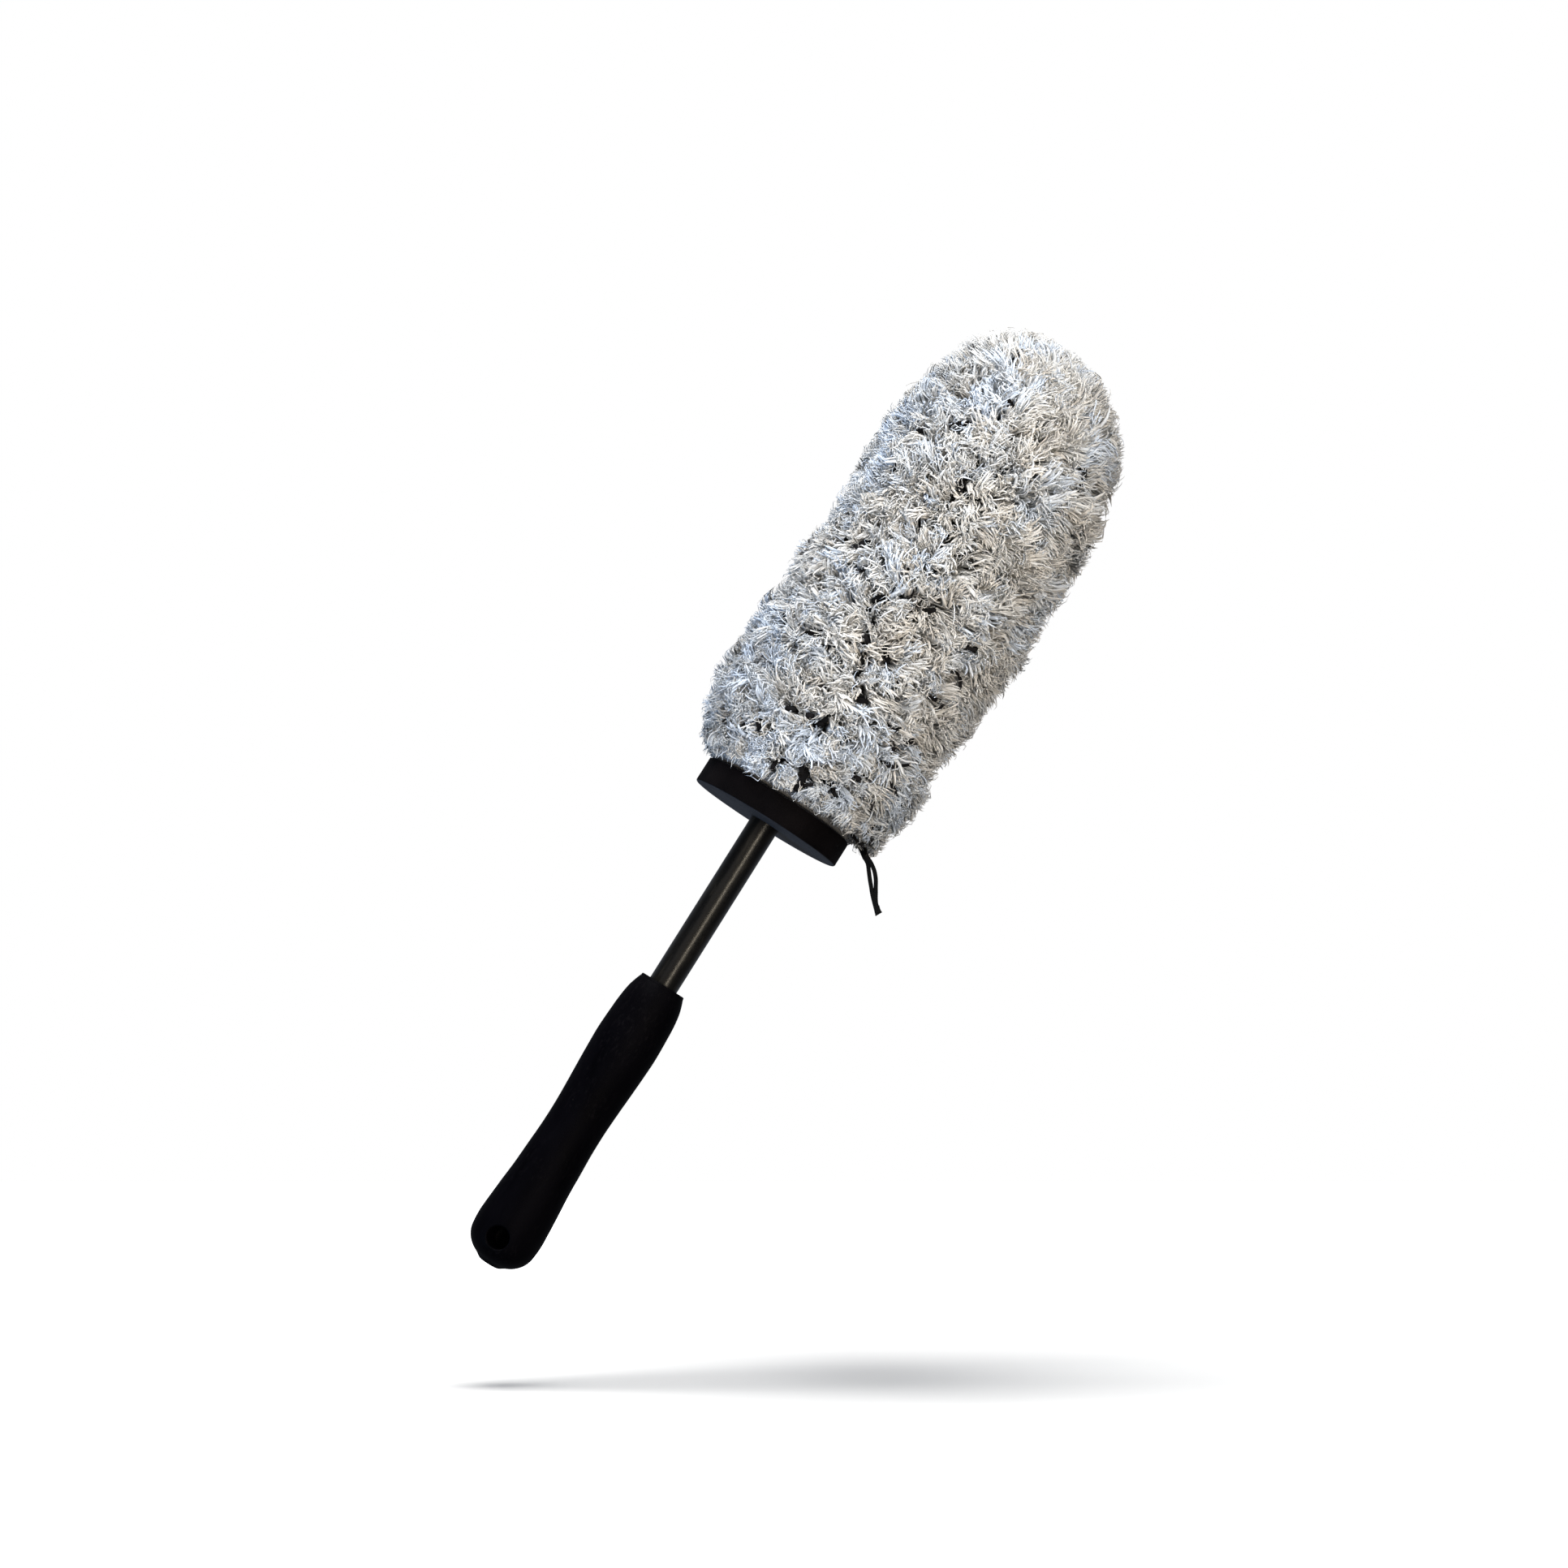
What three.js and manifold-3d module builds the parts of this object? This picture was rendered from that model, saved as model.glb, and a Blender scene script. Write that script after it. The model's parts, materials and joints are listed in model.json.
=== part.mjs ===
// Wheel brush: a straight tube with a soft grip at one end, a foam hand guard half way
// up, and a padded core at the other end that wears a removable deep-pile fabric sleeve.
// Millimetres, +Z from the butt of the grip to the tip of the head. The origin is the
// centre of the flat butt. +X is the side where the drawcord leaves the sleeve's hem,
// and -Y is the front.
import * as THREE from "three";
import { mergeVertices } from "three/addons/utils/BufferGeometryUtils.js";
import Module from "manifold-3d";

const wasm = await Module();
wasm.setup();

// ---- driving dimensions -------------------------------------------------------------
const LENGTH = 457; // overall, butt to tip of the pile
const FINE = 32; // facets round the large visible turned pieces
const SEG = 24; // facets round the other turned pieces
const GAP = 0.3; // clearance between neighbouring pieces
const SLIDE = 0.15; // radial clearance of bores and holes

// shaft
const TUBE_R = 6.5;
const TUBE_BORE = TUBE_R - 1; // 1 mm wall
const TUBE_Z0 = 23.4;
const TUBE_Z1 = 388;
const PLUG_R = TUBE_BORE - 0.12; // of the pieces fitted inside the tube

// hand guard
const GUARD_R = 34.5;
const GUARD_Z0 = 216.1;
const GUARD_Z1 = GUARD_Z0 + 11.5;

// core under the sleeve
const CORE_R = 24;
const FLANGE_R = 23.5;
const FLANGE_T = 3;
const FLANGE_EDGE = 0.8; // chamfer
const LOW_FLANGE_Z0 = GUARD_Z1 + 0.6;
const LOW_FLANGE_Z1 = LOW_FLANGE_Z0 + FLANGE_T;
const CORE_Z1 = 388.1;
const TOP_FLANGE_Z0 = CORE_Z1 + GAP;
const TOP_FLANGE_Z1 = TOP_FLANGE_Z0 + FLANGE_T;
const NOSE_Z0 = TOP_FLANGE_Z1 + GAP;
const DOME_Z = 403; // where the dome starts
const DOME_H = 24; // dome height above that
const DOME_STEPS = 6;

// ---- materials ----------------------------------------------------------------------
const material = ({ color, roughness, metalness = 0 }) =>
  new THREE.MeshStandardMaterial({ color, roughness, metalness });
const SOFT_BLACK = material({ color: 0x121114, roughness: 0.72 });
const HARD_BLACK = material({ color: 0x1a1a1c, roughness: 0.5 });
const GLOSS_BLACK = material({ color: 0x17161a, roughness: 0.18, metalness: 0.4 });
const FOAM_BLACK = material({ color: 0x161517, roughness: 0.92 });
const FOAM_GREY = material({ color: 0x3a3d42, roughness: 0.95 });
const STEEL = material({ color: 0xb4b6b8, roughness: 0.35, metalness: 1 });
const CLOTH_GREY = material({ color: 0xb9b6b1, roughness: 0.9 });
const PILE_GREY = material({ color: 0xbeb9b4, roughness: 0.98 });
const CORD_BLACK = material({ color: 0x0c0c0e, roughness: 0.8 });
const HEM_GREY = material({ color: 0xc4c4c6, roughness: 0.85 });

// ---- helpers ------------------------------------------------------------------------
const radians = THREE.MathUtils.degToRad;
const vectors = (pairs) => pairs.map(([x, y]) => new THREE.Vector2(x, y));

// A closed geometry as a solid for joining and cutting, whichever way its faces wind.
function solid(geometry) {
  geometry.deleteAttribute("normal");
  geometry.deleteAttribute("uv");
  const merged = mergeVertices(geometry, 1e-4);
  const index = merged.index.array;
  const triangles = [];
  for (let i = 0; i < index.length; i += 3) {
    const [a, b, c] = index.slice(i, i + 3);
    // triangles at a pole collapse when their corners merge
    if (a !== b && b !== c && a !== c) triangles.push(a, b, c);
  }
  const build = () =>
    new wasm.Manifold(
      new wasm.Mesh({
        numProp: 3,
        vertProperties: new Float32Array(merged.attributes.position.array),
        triVerts: new Uint32Array(triangles),
      }),
    );
  const made = build();
  if (made.volume() >= 0) return made;
  for (let i = 0; i < triangles.length; i += 3)
    [triangles[i + 1], triangles[i + 2]] = [triangles[i + 2], triangles[i + 1]];
  return build();
}

// A solid of revolution about Z from [radius, z] points.
function turned(points, segments = SEG) {
  const geometry = new THREE.LatheGeometry(vectors(points), segments);
  return solid(geometry.rotateX(Math.PI / 2));
}

// The same for a profile that closes on itself.
const ring = (points, segments) => turned([...points, points[0]], segments);

// A ring of rectangular section.
const plainRing = (r0, r1, z0, z1, segments) =>
  ring([[r0, z0], [r1, z0], [r1, z1], [r0, z1]], segments);

function box(x0, x1, y0, y1, z0, z1) {
  const geometry = new THREE.BoxGeometry(x1 - x0, y1 - y0, z1 - z0);
  return solid(geometry.translate((x0 + x1) / 2, (y0 + y1) / 2, (z0 + z1) / 2));
}

// A round bar at height z, centred at y, then turned about Z by some degrees.
function crossBar({ radius, length, y = 0, z, turn = 0, segments }) {
  const geometry = new THREE.CylinderGeometry(radius, radius, length, segments);
  geometry.translate(0, y, 0);
  geometry.rotateZ(radians(turn));
  return solid(geometry.translate(0, 0, z));
}

const brush = new THREE.Group();

function add(name, shape, meshMaterial) {
  const { vertProperties, triVerts } = shape.getMesh();
  const geometry = new THREE.BufferGeometry();
  const positions = new Float32Array(vertProperties);
  geometry.setAttribute("position", new THREE.BufferAttribute(positions, 3));
  geometry.setIndex(new THREE.BufferAttribute(new Uint32Array(triVerts), 1));
  geometry.computeVertexNormals();
  const mesh = new THREE.Mesh(geometry, meshMaterial);
  mesh.name = name;
  brush.add(mesh);
}

// Profile of the padded core grown outwards by some offset: a cylinder with a rounded
// end, from the rim at z0 up to the pole.
function coreProfile(offset, z0) {
  const radius = CORE_R + offset;
  const points = [[radius, z0]];
  for (let i = 0; i <= DOME_STEPS; i++) {
    const angle = (i / DOME_STEPS) * (Math.PI / 2);
    points.push([
      i === DOME_STEPS ? 0 : radius * Math.cos(angle),
      DOME_Z + (DOME_H + offset) * Math.sin(angle),
    ]);
  }
  return points;
}

// ---- grip ---------------------------------------------------------------------------
const GRIP_TOP = 135.8;
const BUTT_R = 4.6; // flat at the end of the grip
const INSERT_R = 9.3; // hard insert inside the soft skin
const INSERT_Z0 = 18.9;
const INSERT_Z1 = 133.2;
const INSERT_FLOOR = 2.4;
const POCKET_R = INSERT_R + 0.2; // space in the skin for the insert
const SKIN_BORE = TUBE_R + 0.25;
const HANG_LENGTH = 24;
const HANG_END = 2; // the closed end, this far past the grip's axis
const PIN_R = 1.5;
const PIN_Z = 52;

// outside, [radius, z]: a flat butt, a full rounded end, a waist and a palm swell
const gripOutside = [
  [0, 0], [BUTT_R, 0], [6.9, 1.5], [9.6, 3], [11.8, 4.9],
  [13.3, 6.9], [14.3, 9.3], [14.85, 12.8], [15.05, 17], [14.9, 20.5],
  [14.2, 30.3], [13.35, 40.4], [12.87, 50.4], [12.4, 60.4], [12.35, 70.5],
  [12.75, 80.6], [13.3, 90.7], [13.76, 100.8], [13.92, 106.5], [13.6, 116],
  [13.15, 123], [12.3, 128.8], [11.03, 133], [10.2, 135], [9.4, GRIP_TOP],
];
const gripInside = [
  [SKIN_BORE, GRIP_TOP],
  [SKIN_BORE, INSERT_Z1 + GAP],
  [POCKET_R, INSERT_Z1 + GAP],
  [POCKET_R, INSERT_Z0 - GAP],
  [0, INSERT_Z0 - GAP],
];
// blind hang hole: it runs from the front of the grip to just past the axis
const hangHole = crossBar({
  radius: 4.8,
  length: HANG_LENGTH,
  y: HANG_END - HANG_LENGTH / 2,
  z: 12.3,
  turn: -9.7,
  segments: 24,
});
const gripBody = turned([...gripOutside, ...gripInside], FINE);
add("grip_skin", gripBody.subtract(hangHole), SOFT_BLACK);

// a bar along X through the insert and the tube
const pinBar = (radius, length) =>
  crossBar({ radius, length, z: PIN_Z, turn: 90, segments: 16 });
const pinHole = pinBar(PIN_R + SLIDE, 40);

// hard insert: a cup that takes the end of the tube
const insertCup = turned([
  [0, INSERT_Z0],
  [INSERT_R, INSERT_Z0],
  [INSERT_R, INSERT_Z1],
  [TUBE_R + SLIDE, INSERT_Z1],
  [TUBE_R + SLIDE, INSERT_Z0 + INSERT_FLOOR],
  [0, INSERT_Z0 + INSERT_FLOOR],
]);
add("grip_insert", insertCup.subtract(pinHole), HARD_BLACK);

// cross pin that locks the tube in the insert, short of its surface at both ends
add("grip_pin", pinBar(PIN_R, 2 * (INSERT_R - GAP)), STEEL);

// ---- shaft --------------------------------------------------------------------------
const tube = plainRing(TUBE_BORE, TUBE_R, TUBE_Z0, TUBE_Z1, FINE);
add("shaft_tube", tube.subtract(pinHole), GLOSS_BLACK);

// plug that closes the lower end of the tube: a head below it and a tapered shank
const PLUG_HEAD_R = TUBE_R - 0.2;
const PLUG_HEAD_Z1 = TUBE_Z0 - 0.1;
const PLUG_TOP = TUBE_Z0 + 10.5;
add(
  "tube_end_plug",
  turned([
    [0, TUBE_Z0 - 1.7],
    [PLUG_HEAD_R, TUBE_Z0 - 1.7],
    [PLUG_HEAD_R, PLUG_HEAD_Z1],
    [PLUG_R, PLUG_HEAD_Z1],
    [PLUG_R, PLUG_TOP - 1.5],
    [PLUG_R - 1, PLUG_TOP],
    [0, PLUG_TOP],
  ]),
  HARD_BLACK,
);

// ---- hand guard ---------------------------------------------------------------------
const GUARD_BORE = TUBE_R + 0.1;
const GUARD_EDGE = 0.6; // chamfer
add(
  "guard_disc",
  ring(
    [
      [GUARD_BORE, GUARD_Z0],
      [GUARD_R - GUARD_EDGE, GUARD_Z0],
      [GUARD_R, GUARD_Z0 + GUARD_EDGE],
      [GUARD_R, GUARD_Z1 - GUARD_EDGE],
      [GUARD_R - GUARD_EDGE, GUARD_Z1],
      [GUARD_BORE, GUARD_Z1],
    ],
    FINE,
  ),
  FOAM_BLACK,
);

// ---- padded core --------------------------------------------------------------------
const HUB_R = 11;
const HUB_H = 12;
const HUB_Z1 = LOW_FLANGE_Z1 + HUB_H;
const GRUB_R = 2;
const GRUB_LENGTH = 3.9;
const GRUB_TIP = TUBE_R + GAP; // distance of the screw's inner end from the axis

// a bar through the front wall of the hub, half way up it
const grubBar = (radius, length, y, segments) =>
  crossBar({ radius, length, y, z: LOW_FLANGE_Z1 + HUB_H / 2, segments });

// lower flange with a hub that a grub screw locks to the tube
const lowFlange = ring([
  [TUBE_R + SLIDE, LOW_FLANGE_Z0],
  [FLANGE_R - FLANGE_EDGE, LOW_FLANGE_Z0],
  [FLANGE_R, LOW_FLANGE_Z0 + FLANGE_EDGE],
  [FLANGE_R, LOW_FLANGE_Z1],
  [HUB_R, LOW_FLANGE_Z1],
  [HUB_R, HUB_Z1],
  [TUBE_R + SLIDE, HUB_Z1],
]);
const grubHole = grubBar(GRUB_R + SLIDE, 12, -HUB_R, 16);
add("core_lower_flange", lowFlange.subtract(grubHole), HARD_BLACK);

// grub screw with a hexagon socket in its outer end
const grub = grubBar(GRUB_R, GRUB_LENGTH, -(GRUB_TIP + GRUB_LENGTH / 2), 16);
const grubSocket = grubBar(1.1, 4, -(GRUB_TIP + GRUB_LENGTH), 6);
add("flange_grub_screw", grub.subtract(grubSocket), STEEL);

// foam cylinder, recessed round the hub
const CORE_Z0 = LOW_FLANGE_Z1 + GAP;
add(
  "core_foam",
  ring([
    [HUB_R + GAP, CORE_Z0],
    [CORE_R, CORE_Z0],
    [CORE_R, CORE_Z1],
    [TUBE_R + GAP, CORE_Z1],
    [TUBE_R + GAP, HUB_Z1 + GAP],
    [HUB_R + GAP, HUB_Z1 + GAP],
  ]),
  FOAM_GREY,
);

// upper flange, clamped on the end of the tube
const SCREW_R = 2.5; // M5
add(
  "core_upper_flange",
  ring([
    [SCREW_R + GAP, TOP_FLANGE_Z0],
    [FLANGE_R, TOP_FLANGE_Z0],
    [FLANGE_R, TOP_FLANGE_Z1 - FLANGE_EDGE],
    [FLANGE_R - FLANGE_EDGE, TOP_FLANGE_Z1],
    [SCREW_R + GAP, TOP_FLANGE_Z1],
  ]),
  HARD_BLACK,
);

// threaded insert in the top of the tube
add("tube_top_insert", plainRing(SCREW_R + SLIDE, PLUG_R, 368, TUBE_Z1), STEEL);

// washer and screw that hold the upper flange down
const WASHER_Z0 = TOP_FLANGE_Z1 + 0.1;
const WASHER_Z1 = WASHER_Z0 + 1;
const HEAD_Z0 = WASHER_Z1 + 0.1;
const HEAD_R = 4.6;
const SCREW_Z0 = 372.5;
add("top_washer", plainRing(SCREW_R + 0.2, 6.2, WASHER_Z0, WASHER_Z1), STEEL);

const topScrew = turned([
  [0, SCREW_Z0],
  [SCREW_R - 0.7, SCREW_Z0],
  [SCREW_R, SCREW_Z0 + 0.8],
  [SCREW_R, HEAD_Z0],
  [HEAD_R, HEAD_Z0],
  [HEAD_R, HEAD_Z0 + 1.6],
  [HEAD_R - 1, HEAD_Z0 + 2.6],
  [0, HEAD_Z0 + 2.8],
]);
const driveSocket = new THREE.CylinderGeometry(1.6, 1.6, 4, 6);
driveSocket.rotateX(Math.PI / 2);
driveSocket.translate(0, 0, HEAD_Z0 + 3.2);
add("top_screw", topScrew.subtract(solid(driveSocket)), STEEL);

// rounded foam nose, hollow under its middle to clear the screw head
const NOSE_HOLLOW_R = 7.5;
const NOSE_HOLLOW_Z1 = NOSE_Z0 + 6.5;
add(
  "core_nose",
  turned([
    [0, NOSE_HOLLOW_Z1],
    [NOSE_HOLLOW_R, NOSE_HOLLOW_Z1],
    [NOSE_HOLLOW_R, NOSE_Z0],
    ...coreProfile(0, NOSE_Z0),
  ]),
  FOAM_GREY,
);

// ---- sleeve -------------------------------------------------------------------------
const SLEEVE_Z0 = 234.2;
// distances outwards from the core's surface
const TAPE_IN = 0.35;
const TAPE_OUT = 0.85;
const CLOTH_IN = 1.15;
const CLOTH_OUT = 2.35;
const PILE_IN = 2.65;
const TAPE_W = 8;
const SEAM_GAP = 0.3; // between the two sewn halves
const PILE_SKIRT_R = 33.7; // inside of the pile where it hangs below the backing
const BEYOND = 200; // past the sides of the whole brush

// A dome-ended shell between two distances from the core.
const shell = (inner, outer) =>
  turned([
    ...coreProfile(outer, SLEEVE_Z0).reverse(),
    ...coreProfile(inner, SLEEVE_Z0),
  ]);

// Everything between two y values, as a block to cut with.
const slab = (y0, y1) => box(-BEYOND, BEYOND, y0, y1, 0, 2 * LENGTH);
const frontHalf = slab(-BEYOND, -SEAM_GAP / 2);
const backHalf = slab(SEAM_GAP / 2, BEYOND);

function addHalves(name, shape, meshMaterial) {
  add(`${name}_front`, shape.intersect(frontHalf), meshMaterial);
  add(`${name}_back`, shape.intersect(backHalf), meshMaterial);
}

// seam tape: a narrow upturned U inside the sleeve that covers the seam of its halves
const tapeShell = shell(TAPE_IN, TAPE_OUT);
add("seam_tape", tapeShell.intersect(slab(-TAPE_W / 2, TAPE_W / 2)), CLOTH_GREY);

// woven backing
addHalves("backing", shell(CLOTH_IN, CLOTH_OUT), CLOTH_GREY);

// the pile that stands on each panel, as the space its strands fill; [radius, z]
const pileOutside = [
  [PILE_SKIRT_R, 230.8], [39.5, 230.8], [43.6, 234.5], [46.4, 239.5],
  [49.4, 245], [51.6, 253], [52, 268], [50.9, 282], [52, 300], [52.6, 320],
  [53, 338], [52.4, 360], [52.8, 383], [51, 400], [48.2, 412], [45, 423],
  [40.6, 433], [36.4, 440], [30.4, 446], [22.6, 451], [12.5, 455], [0, LENGTH],
];
const pileInside = coreProfile(PILE_IN, SLEEVE_Z0).reverse();
const pile = turned([...pileInside, [PILE_SKIRT_R, SLEEVE_Z0], ...pileOutside], FINE);
addHalves("pile", pile, PILE_GREY);

// ---- hem ----------------------------------------------------------------------------
const CORD_Z = 230.9;
const HEM_R0 = 25.2;
const HEM_R1 = 33.2;
const HEM_Z0 = 228.1;
const HEM_Z1 = 233.8;
const HEM_SIDE = 1.4; // thickness of the inner and outer walls
const HEM_FLAT = 1.2; // thickness of the top and bottom
const HEM_SLOT = 0.6; // half the height of the slot in the inner wall

// a tape folded into a channel that is open on its inner side
add(
  "hem_tape",
  ring([
    [HEM_R0, HEM_Z0],
    [HEM_R1, HEM_Z0],
    [HEM_R1, HEM_Z1],
    [HEM_R0, HEM_Z1],
    [HEM_R0, CORD_Z + HEM_SLOT],
    [HEM_R0 + HEM_SIDE, CORD_Z + HEM_SLOT],
    [HEM_R0 + HEM_SIDE, HEM_Z1 - HEM_FLAT],
    [HEM_R1 - HEM_SIDE, HEM_Z1 - HEM_FLAT],
    [HEM_R1 - HEM_SIDE, HEM_Z0 + HEM_FLAT],
    [HEM_R0 + HEM_SIDE, HEM_Z0 + HEM_FLAT],
    [HEM_R0 + HEM_SIDE, CORD_Z - HEM_SLOT],
    [HEM_R0, CORD_Z - HEM_SLOT],
  ]),
  HEM_GREY,
);

// free end of the hem tape beside the cord's exit
add("hem_tape_end", box(44.2, 48.6, 1.3, 1.9, 229.2, 234.4), HEM_GREY);

// ---- drawcord -----------------------------------------------------------------------
const CORD_RING_R = 29.3;
const CORD_R = 1;
const NECK_HALF_Y = 0.85; // half width of the paired strands along Y
const NECK_HALF_UPRIGHT = 1.5; // and across the path in the XZ plane
const LOOP_T = 1.6; // thickness along Y

const cordRing = new THREE.TorusGeometry(CORD_RING_R, CORD_R, 8, SEG);
add("drawcord_ring", solid(cordRing.translate(0, 0, CORD_Z)), CORD_BLACK);

// both strands where they leave the hem, lying side by side; [x, z] stations
const neckStations = [[34.9, 229.3], [38.4, 228.7], [41.8, 227.7], [44, 226.6]];
const neckSection = new THREE.Shape();
neckSection.absellipse(0, 0, NECK_HALF_Y, NECK_HALF_UPRIGHT, 0, 2 * Math.PI, false, 0);
const neck = new THREE.ExtrudeGeometry(neckSection, {
  steps: 6,
  curveSegments: 5,
  bevelEnabled: false,
  extrudePath: new THREE.CatmullRomCurve3(
    neckStations.map(([x, z]) => new THREE.Vector3(x, 0, z)),
  ),
});
add("drawcord_neck", solid(neck), CORD_BLACK);

// the loop outside the hem: two strands with a slit between them, [x, z] outlines
const loopOutside = [
  [44.9, 225.5], [45.9, 223.6], [48, 220.6], [51.2, 216.5], [54.2, 213.1],
  [55.9, 211.6], [57.5, 213.4], [56.4, 215.6], [55.9, 218], [54.6, 221.4],
  [51.8, 224.4], [48.4, 226.6], [45.6, 227.3],
];
const loopSlit = [
  [47.6, 224.9], [50.6, 222.9], [52.8, 220.4], [54.2, 217],
  [54.6, 215], [52.8, 216.9], [49.7, 220.7],
];
const loopShape = new THREE.Shape(vectors(loopOutside));
loopShape.holes.push(new THREE.Path(vectors(loopSlit)));
const loop = new THREE.ExtrudeGeometry(loopShape, {
  depth: LOOP_T,
  steps: 1,
  bevelEnabled: false,
});
loop.translate(0, 0, -LOOP_T / 2);
add("drawcord_loop", solid(loop.rotateX(Math.PI / 2)), CORD_BLACK);

// stitched end where the strands are joined and cut flat
const endTab = new THREE.BoxGeometry(3.2, 2.2, 5);
endTab.rotateY(radians(-47));
endTab.translate(59.1, 0, 210.3);
add("drawcord_end", solid(endTab), CORD_BLACK);

export default brush;
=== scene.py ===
"""A brush: a rubber grip, a black tube, a foam guard disc and a head of yarn pile.

The shaft lies on the Z axis, with the grip's end at z = 0 and the pile's tip at the top.
The front faces -Y, and the drawcord leaves the hem on the +X side. Shapes are written in
millimetres and scaled by MM.
"""
import json
import math
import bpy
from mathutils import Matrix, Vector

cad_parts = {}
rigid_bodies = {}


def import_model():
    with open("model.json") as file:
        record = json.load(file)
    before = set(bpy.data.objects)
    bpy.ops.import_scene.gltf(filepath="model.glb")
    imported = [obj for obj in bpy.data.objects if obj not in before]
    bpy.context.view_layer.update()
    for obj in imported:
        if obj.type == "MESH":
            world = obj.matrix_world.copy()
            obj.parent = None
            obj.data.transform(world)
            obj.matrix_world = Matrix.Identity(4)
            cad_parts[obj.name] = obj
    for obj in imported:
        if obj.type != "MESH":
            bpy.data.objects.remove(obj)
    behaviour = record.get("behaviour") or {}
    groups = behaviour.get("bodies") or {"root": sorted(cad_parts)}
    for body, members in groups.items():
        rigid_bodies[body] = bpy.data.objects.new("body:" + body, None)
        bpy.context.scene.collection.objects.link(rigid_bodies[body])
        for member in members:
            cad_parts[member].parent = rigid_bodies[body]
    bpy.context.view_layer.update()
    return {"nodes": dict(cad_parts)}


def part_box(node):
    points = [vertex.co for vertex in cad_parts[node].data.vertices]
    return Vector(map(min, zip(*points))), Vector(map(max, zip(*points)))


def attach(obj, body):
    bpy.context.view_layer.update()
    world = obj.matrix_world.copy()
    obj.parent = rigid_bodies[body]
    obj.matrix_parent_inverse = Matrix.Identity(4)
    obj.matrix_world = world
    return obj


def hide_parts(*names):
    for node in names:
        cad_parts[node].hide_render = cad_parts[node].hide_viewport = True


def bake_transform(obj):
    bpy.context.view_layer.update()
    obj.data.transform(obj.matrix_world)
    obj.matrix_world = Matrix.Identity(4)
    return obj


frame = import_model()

from types import SimpleNamespace

import bmesh
import bpy
import numpy as np
from mathutils import Matrix

MM = 0.001


# ------------------------------------------------------------------ sizes from the frame
def radius(part):
    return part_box(part)[1].x / MM


def bottom(part):
    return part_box(part)[0].z / MM


def top(part):
    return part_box(part)[1].z / MM


TUBE_R, TUBE_Z0, TUBE_Z1 = radius("shaft_tube"), bottom("shaft_tube"), top("shaft_tube")
GRIP_TOP = top("grip_skin")
GUARD_R, GUARD_Z0, GUARD_Z1 = radius("guard_disc"), bottom("guard_disc"), top("guard_disc")
CORE_R, FOAM_Z0, FOAM_Z1 = radius("core_foam"), bottom("core_foam"), top("core_foam")
NOSE_Z0, NOSE_TOP = bottom("core_nose"), top("core_nose")
LOWER_Z0, LOWER_Z1 = bottom("core_lower_flange"), top("core_lower_flange")
UPPER_Z0, UPPER_Z1 = bottom("core_upper_flange"), top("core_upper_flange")
CLOTH_R, CLOTH_Z0 = radius("backing_front"), bottom("backing_front")
CLOTH_TOP = top("backing_front")
TAPE_Z0 = bottom("seam_tape")
HEM_CORD_Z = (bottom("drawcord_ring") + top("drawcord_ring")) / 2
DOME_Z = 403.0  # where the straight side of the head turns into its dome


# ------------------------------------------------------------------ mesh helpers
def link(name, verts, faces, smooth=True):
    """A new object in the scene, from points in millimetres."""
    mesh = bpy.data.meshes.new(name)
    mesh.from_pydata([tuple(v) for v in np.array(verts) * MM], [], faces)
    mesh.validate()
    if smooth:
        mesh.polygons.foreach_set("use_smooth", [True] * len(mesh.polygons))
    mesh.update()
    ob = bpy.data.objects.new(name, mesh)
    bpy.context.scene.collection.objects.link(ob)
    return ob


def outward(ob, sharp=None):
    """Turn the faces of a closed mesh out, then mark edges over sharp degrees."""
    bm = bmesh.new()
    bm.from_mesh(ob.data)
    bmesh.ops.recalc_face_normals(bm, faces=bm.faces)
    bm.to_mesh(ob.data)
    bm.free()
    ob.data.update()
    if sharp is not None:
        ob.data.set_sharp_from_angle(angle=math.radians(sharp))
    return ob


def set_uv(mesh, values, name="weave"):
    """Write a UV layer, one pair per face corner. "weave" layers hold metres."""
    layer = mesh.uv_layers.new(name=name)
    layer.data.foreach_set("uv", np.asarray(values, np.float32).ravel())


def corner_verts(mesh):
    index = np.zeros(len(mesh.loops), np.int32)
    mesh.loops.foreach_get("vertex_index", index)
    return index


def positions(mesh):
    co = np.zeros(len(mesh.vertices) * 3, np.float32)
    mesh.vertices.foreach_get("co", co)
    return co.reshape(-1, 3)


def unit(v):
    return v / np.maximum(np.linalg.norm(v, axis=-1, keepdims=True), 1e-9)


def run_length(path):
    """Distance along a path at each of its points."""
    return np.concatenate([[0], np.cumsum(np.linalg.norm(np.diff(path, axis=0), axis=1))])


def catmull(points, per):
    """A centripetal Catmull-Rom curve through 2-D points, with per steps a span."""
    pts = np.array(points, float)
    pts = np.vstack([2 * pts[0] - pts[1], pts, 2 * pts[-1] - pts[-2]])

    def between(start, end, t_start, t_end, t):
        span = t_end - t_start
        return (t_end - t) / span * start + (t - t_start) / span * end

    out = []
    for i in range(1, len(pts) - 2):
        a, b, c, d = pts[i - 1 : i + 3]
        knots = [0.0]
        for start, end in ((a, b), (b, c), (c, d)):
            knots.append(knots[-1] + max(np.linalg.norm(end - start), 1e-6) ** 0.5)
        t0, t1, t2, t3 = knots
        for k in range(per):
            t = t1 + (t2 - t1) * k / per
            ab = between(a, b, t0, t1, t)
            bc = between(b, c, t1, t2, t)
            cd = between(c, d, t2, t3, t)
            abc = between(ab, bc, t0, t2, t)
            bcd = between(bc, cd, t1, t3, t)
            out.append(between(abc, bcd, t1, t2, t))
    out.append(pts[-2])
    return np.array(out)


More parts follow.
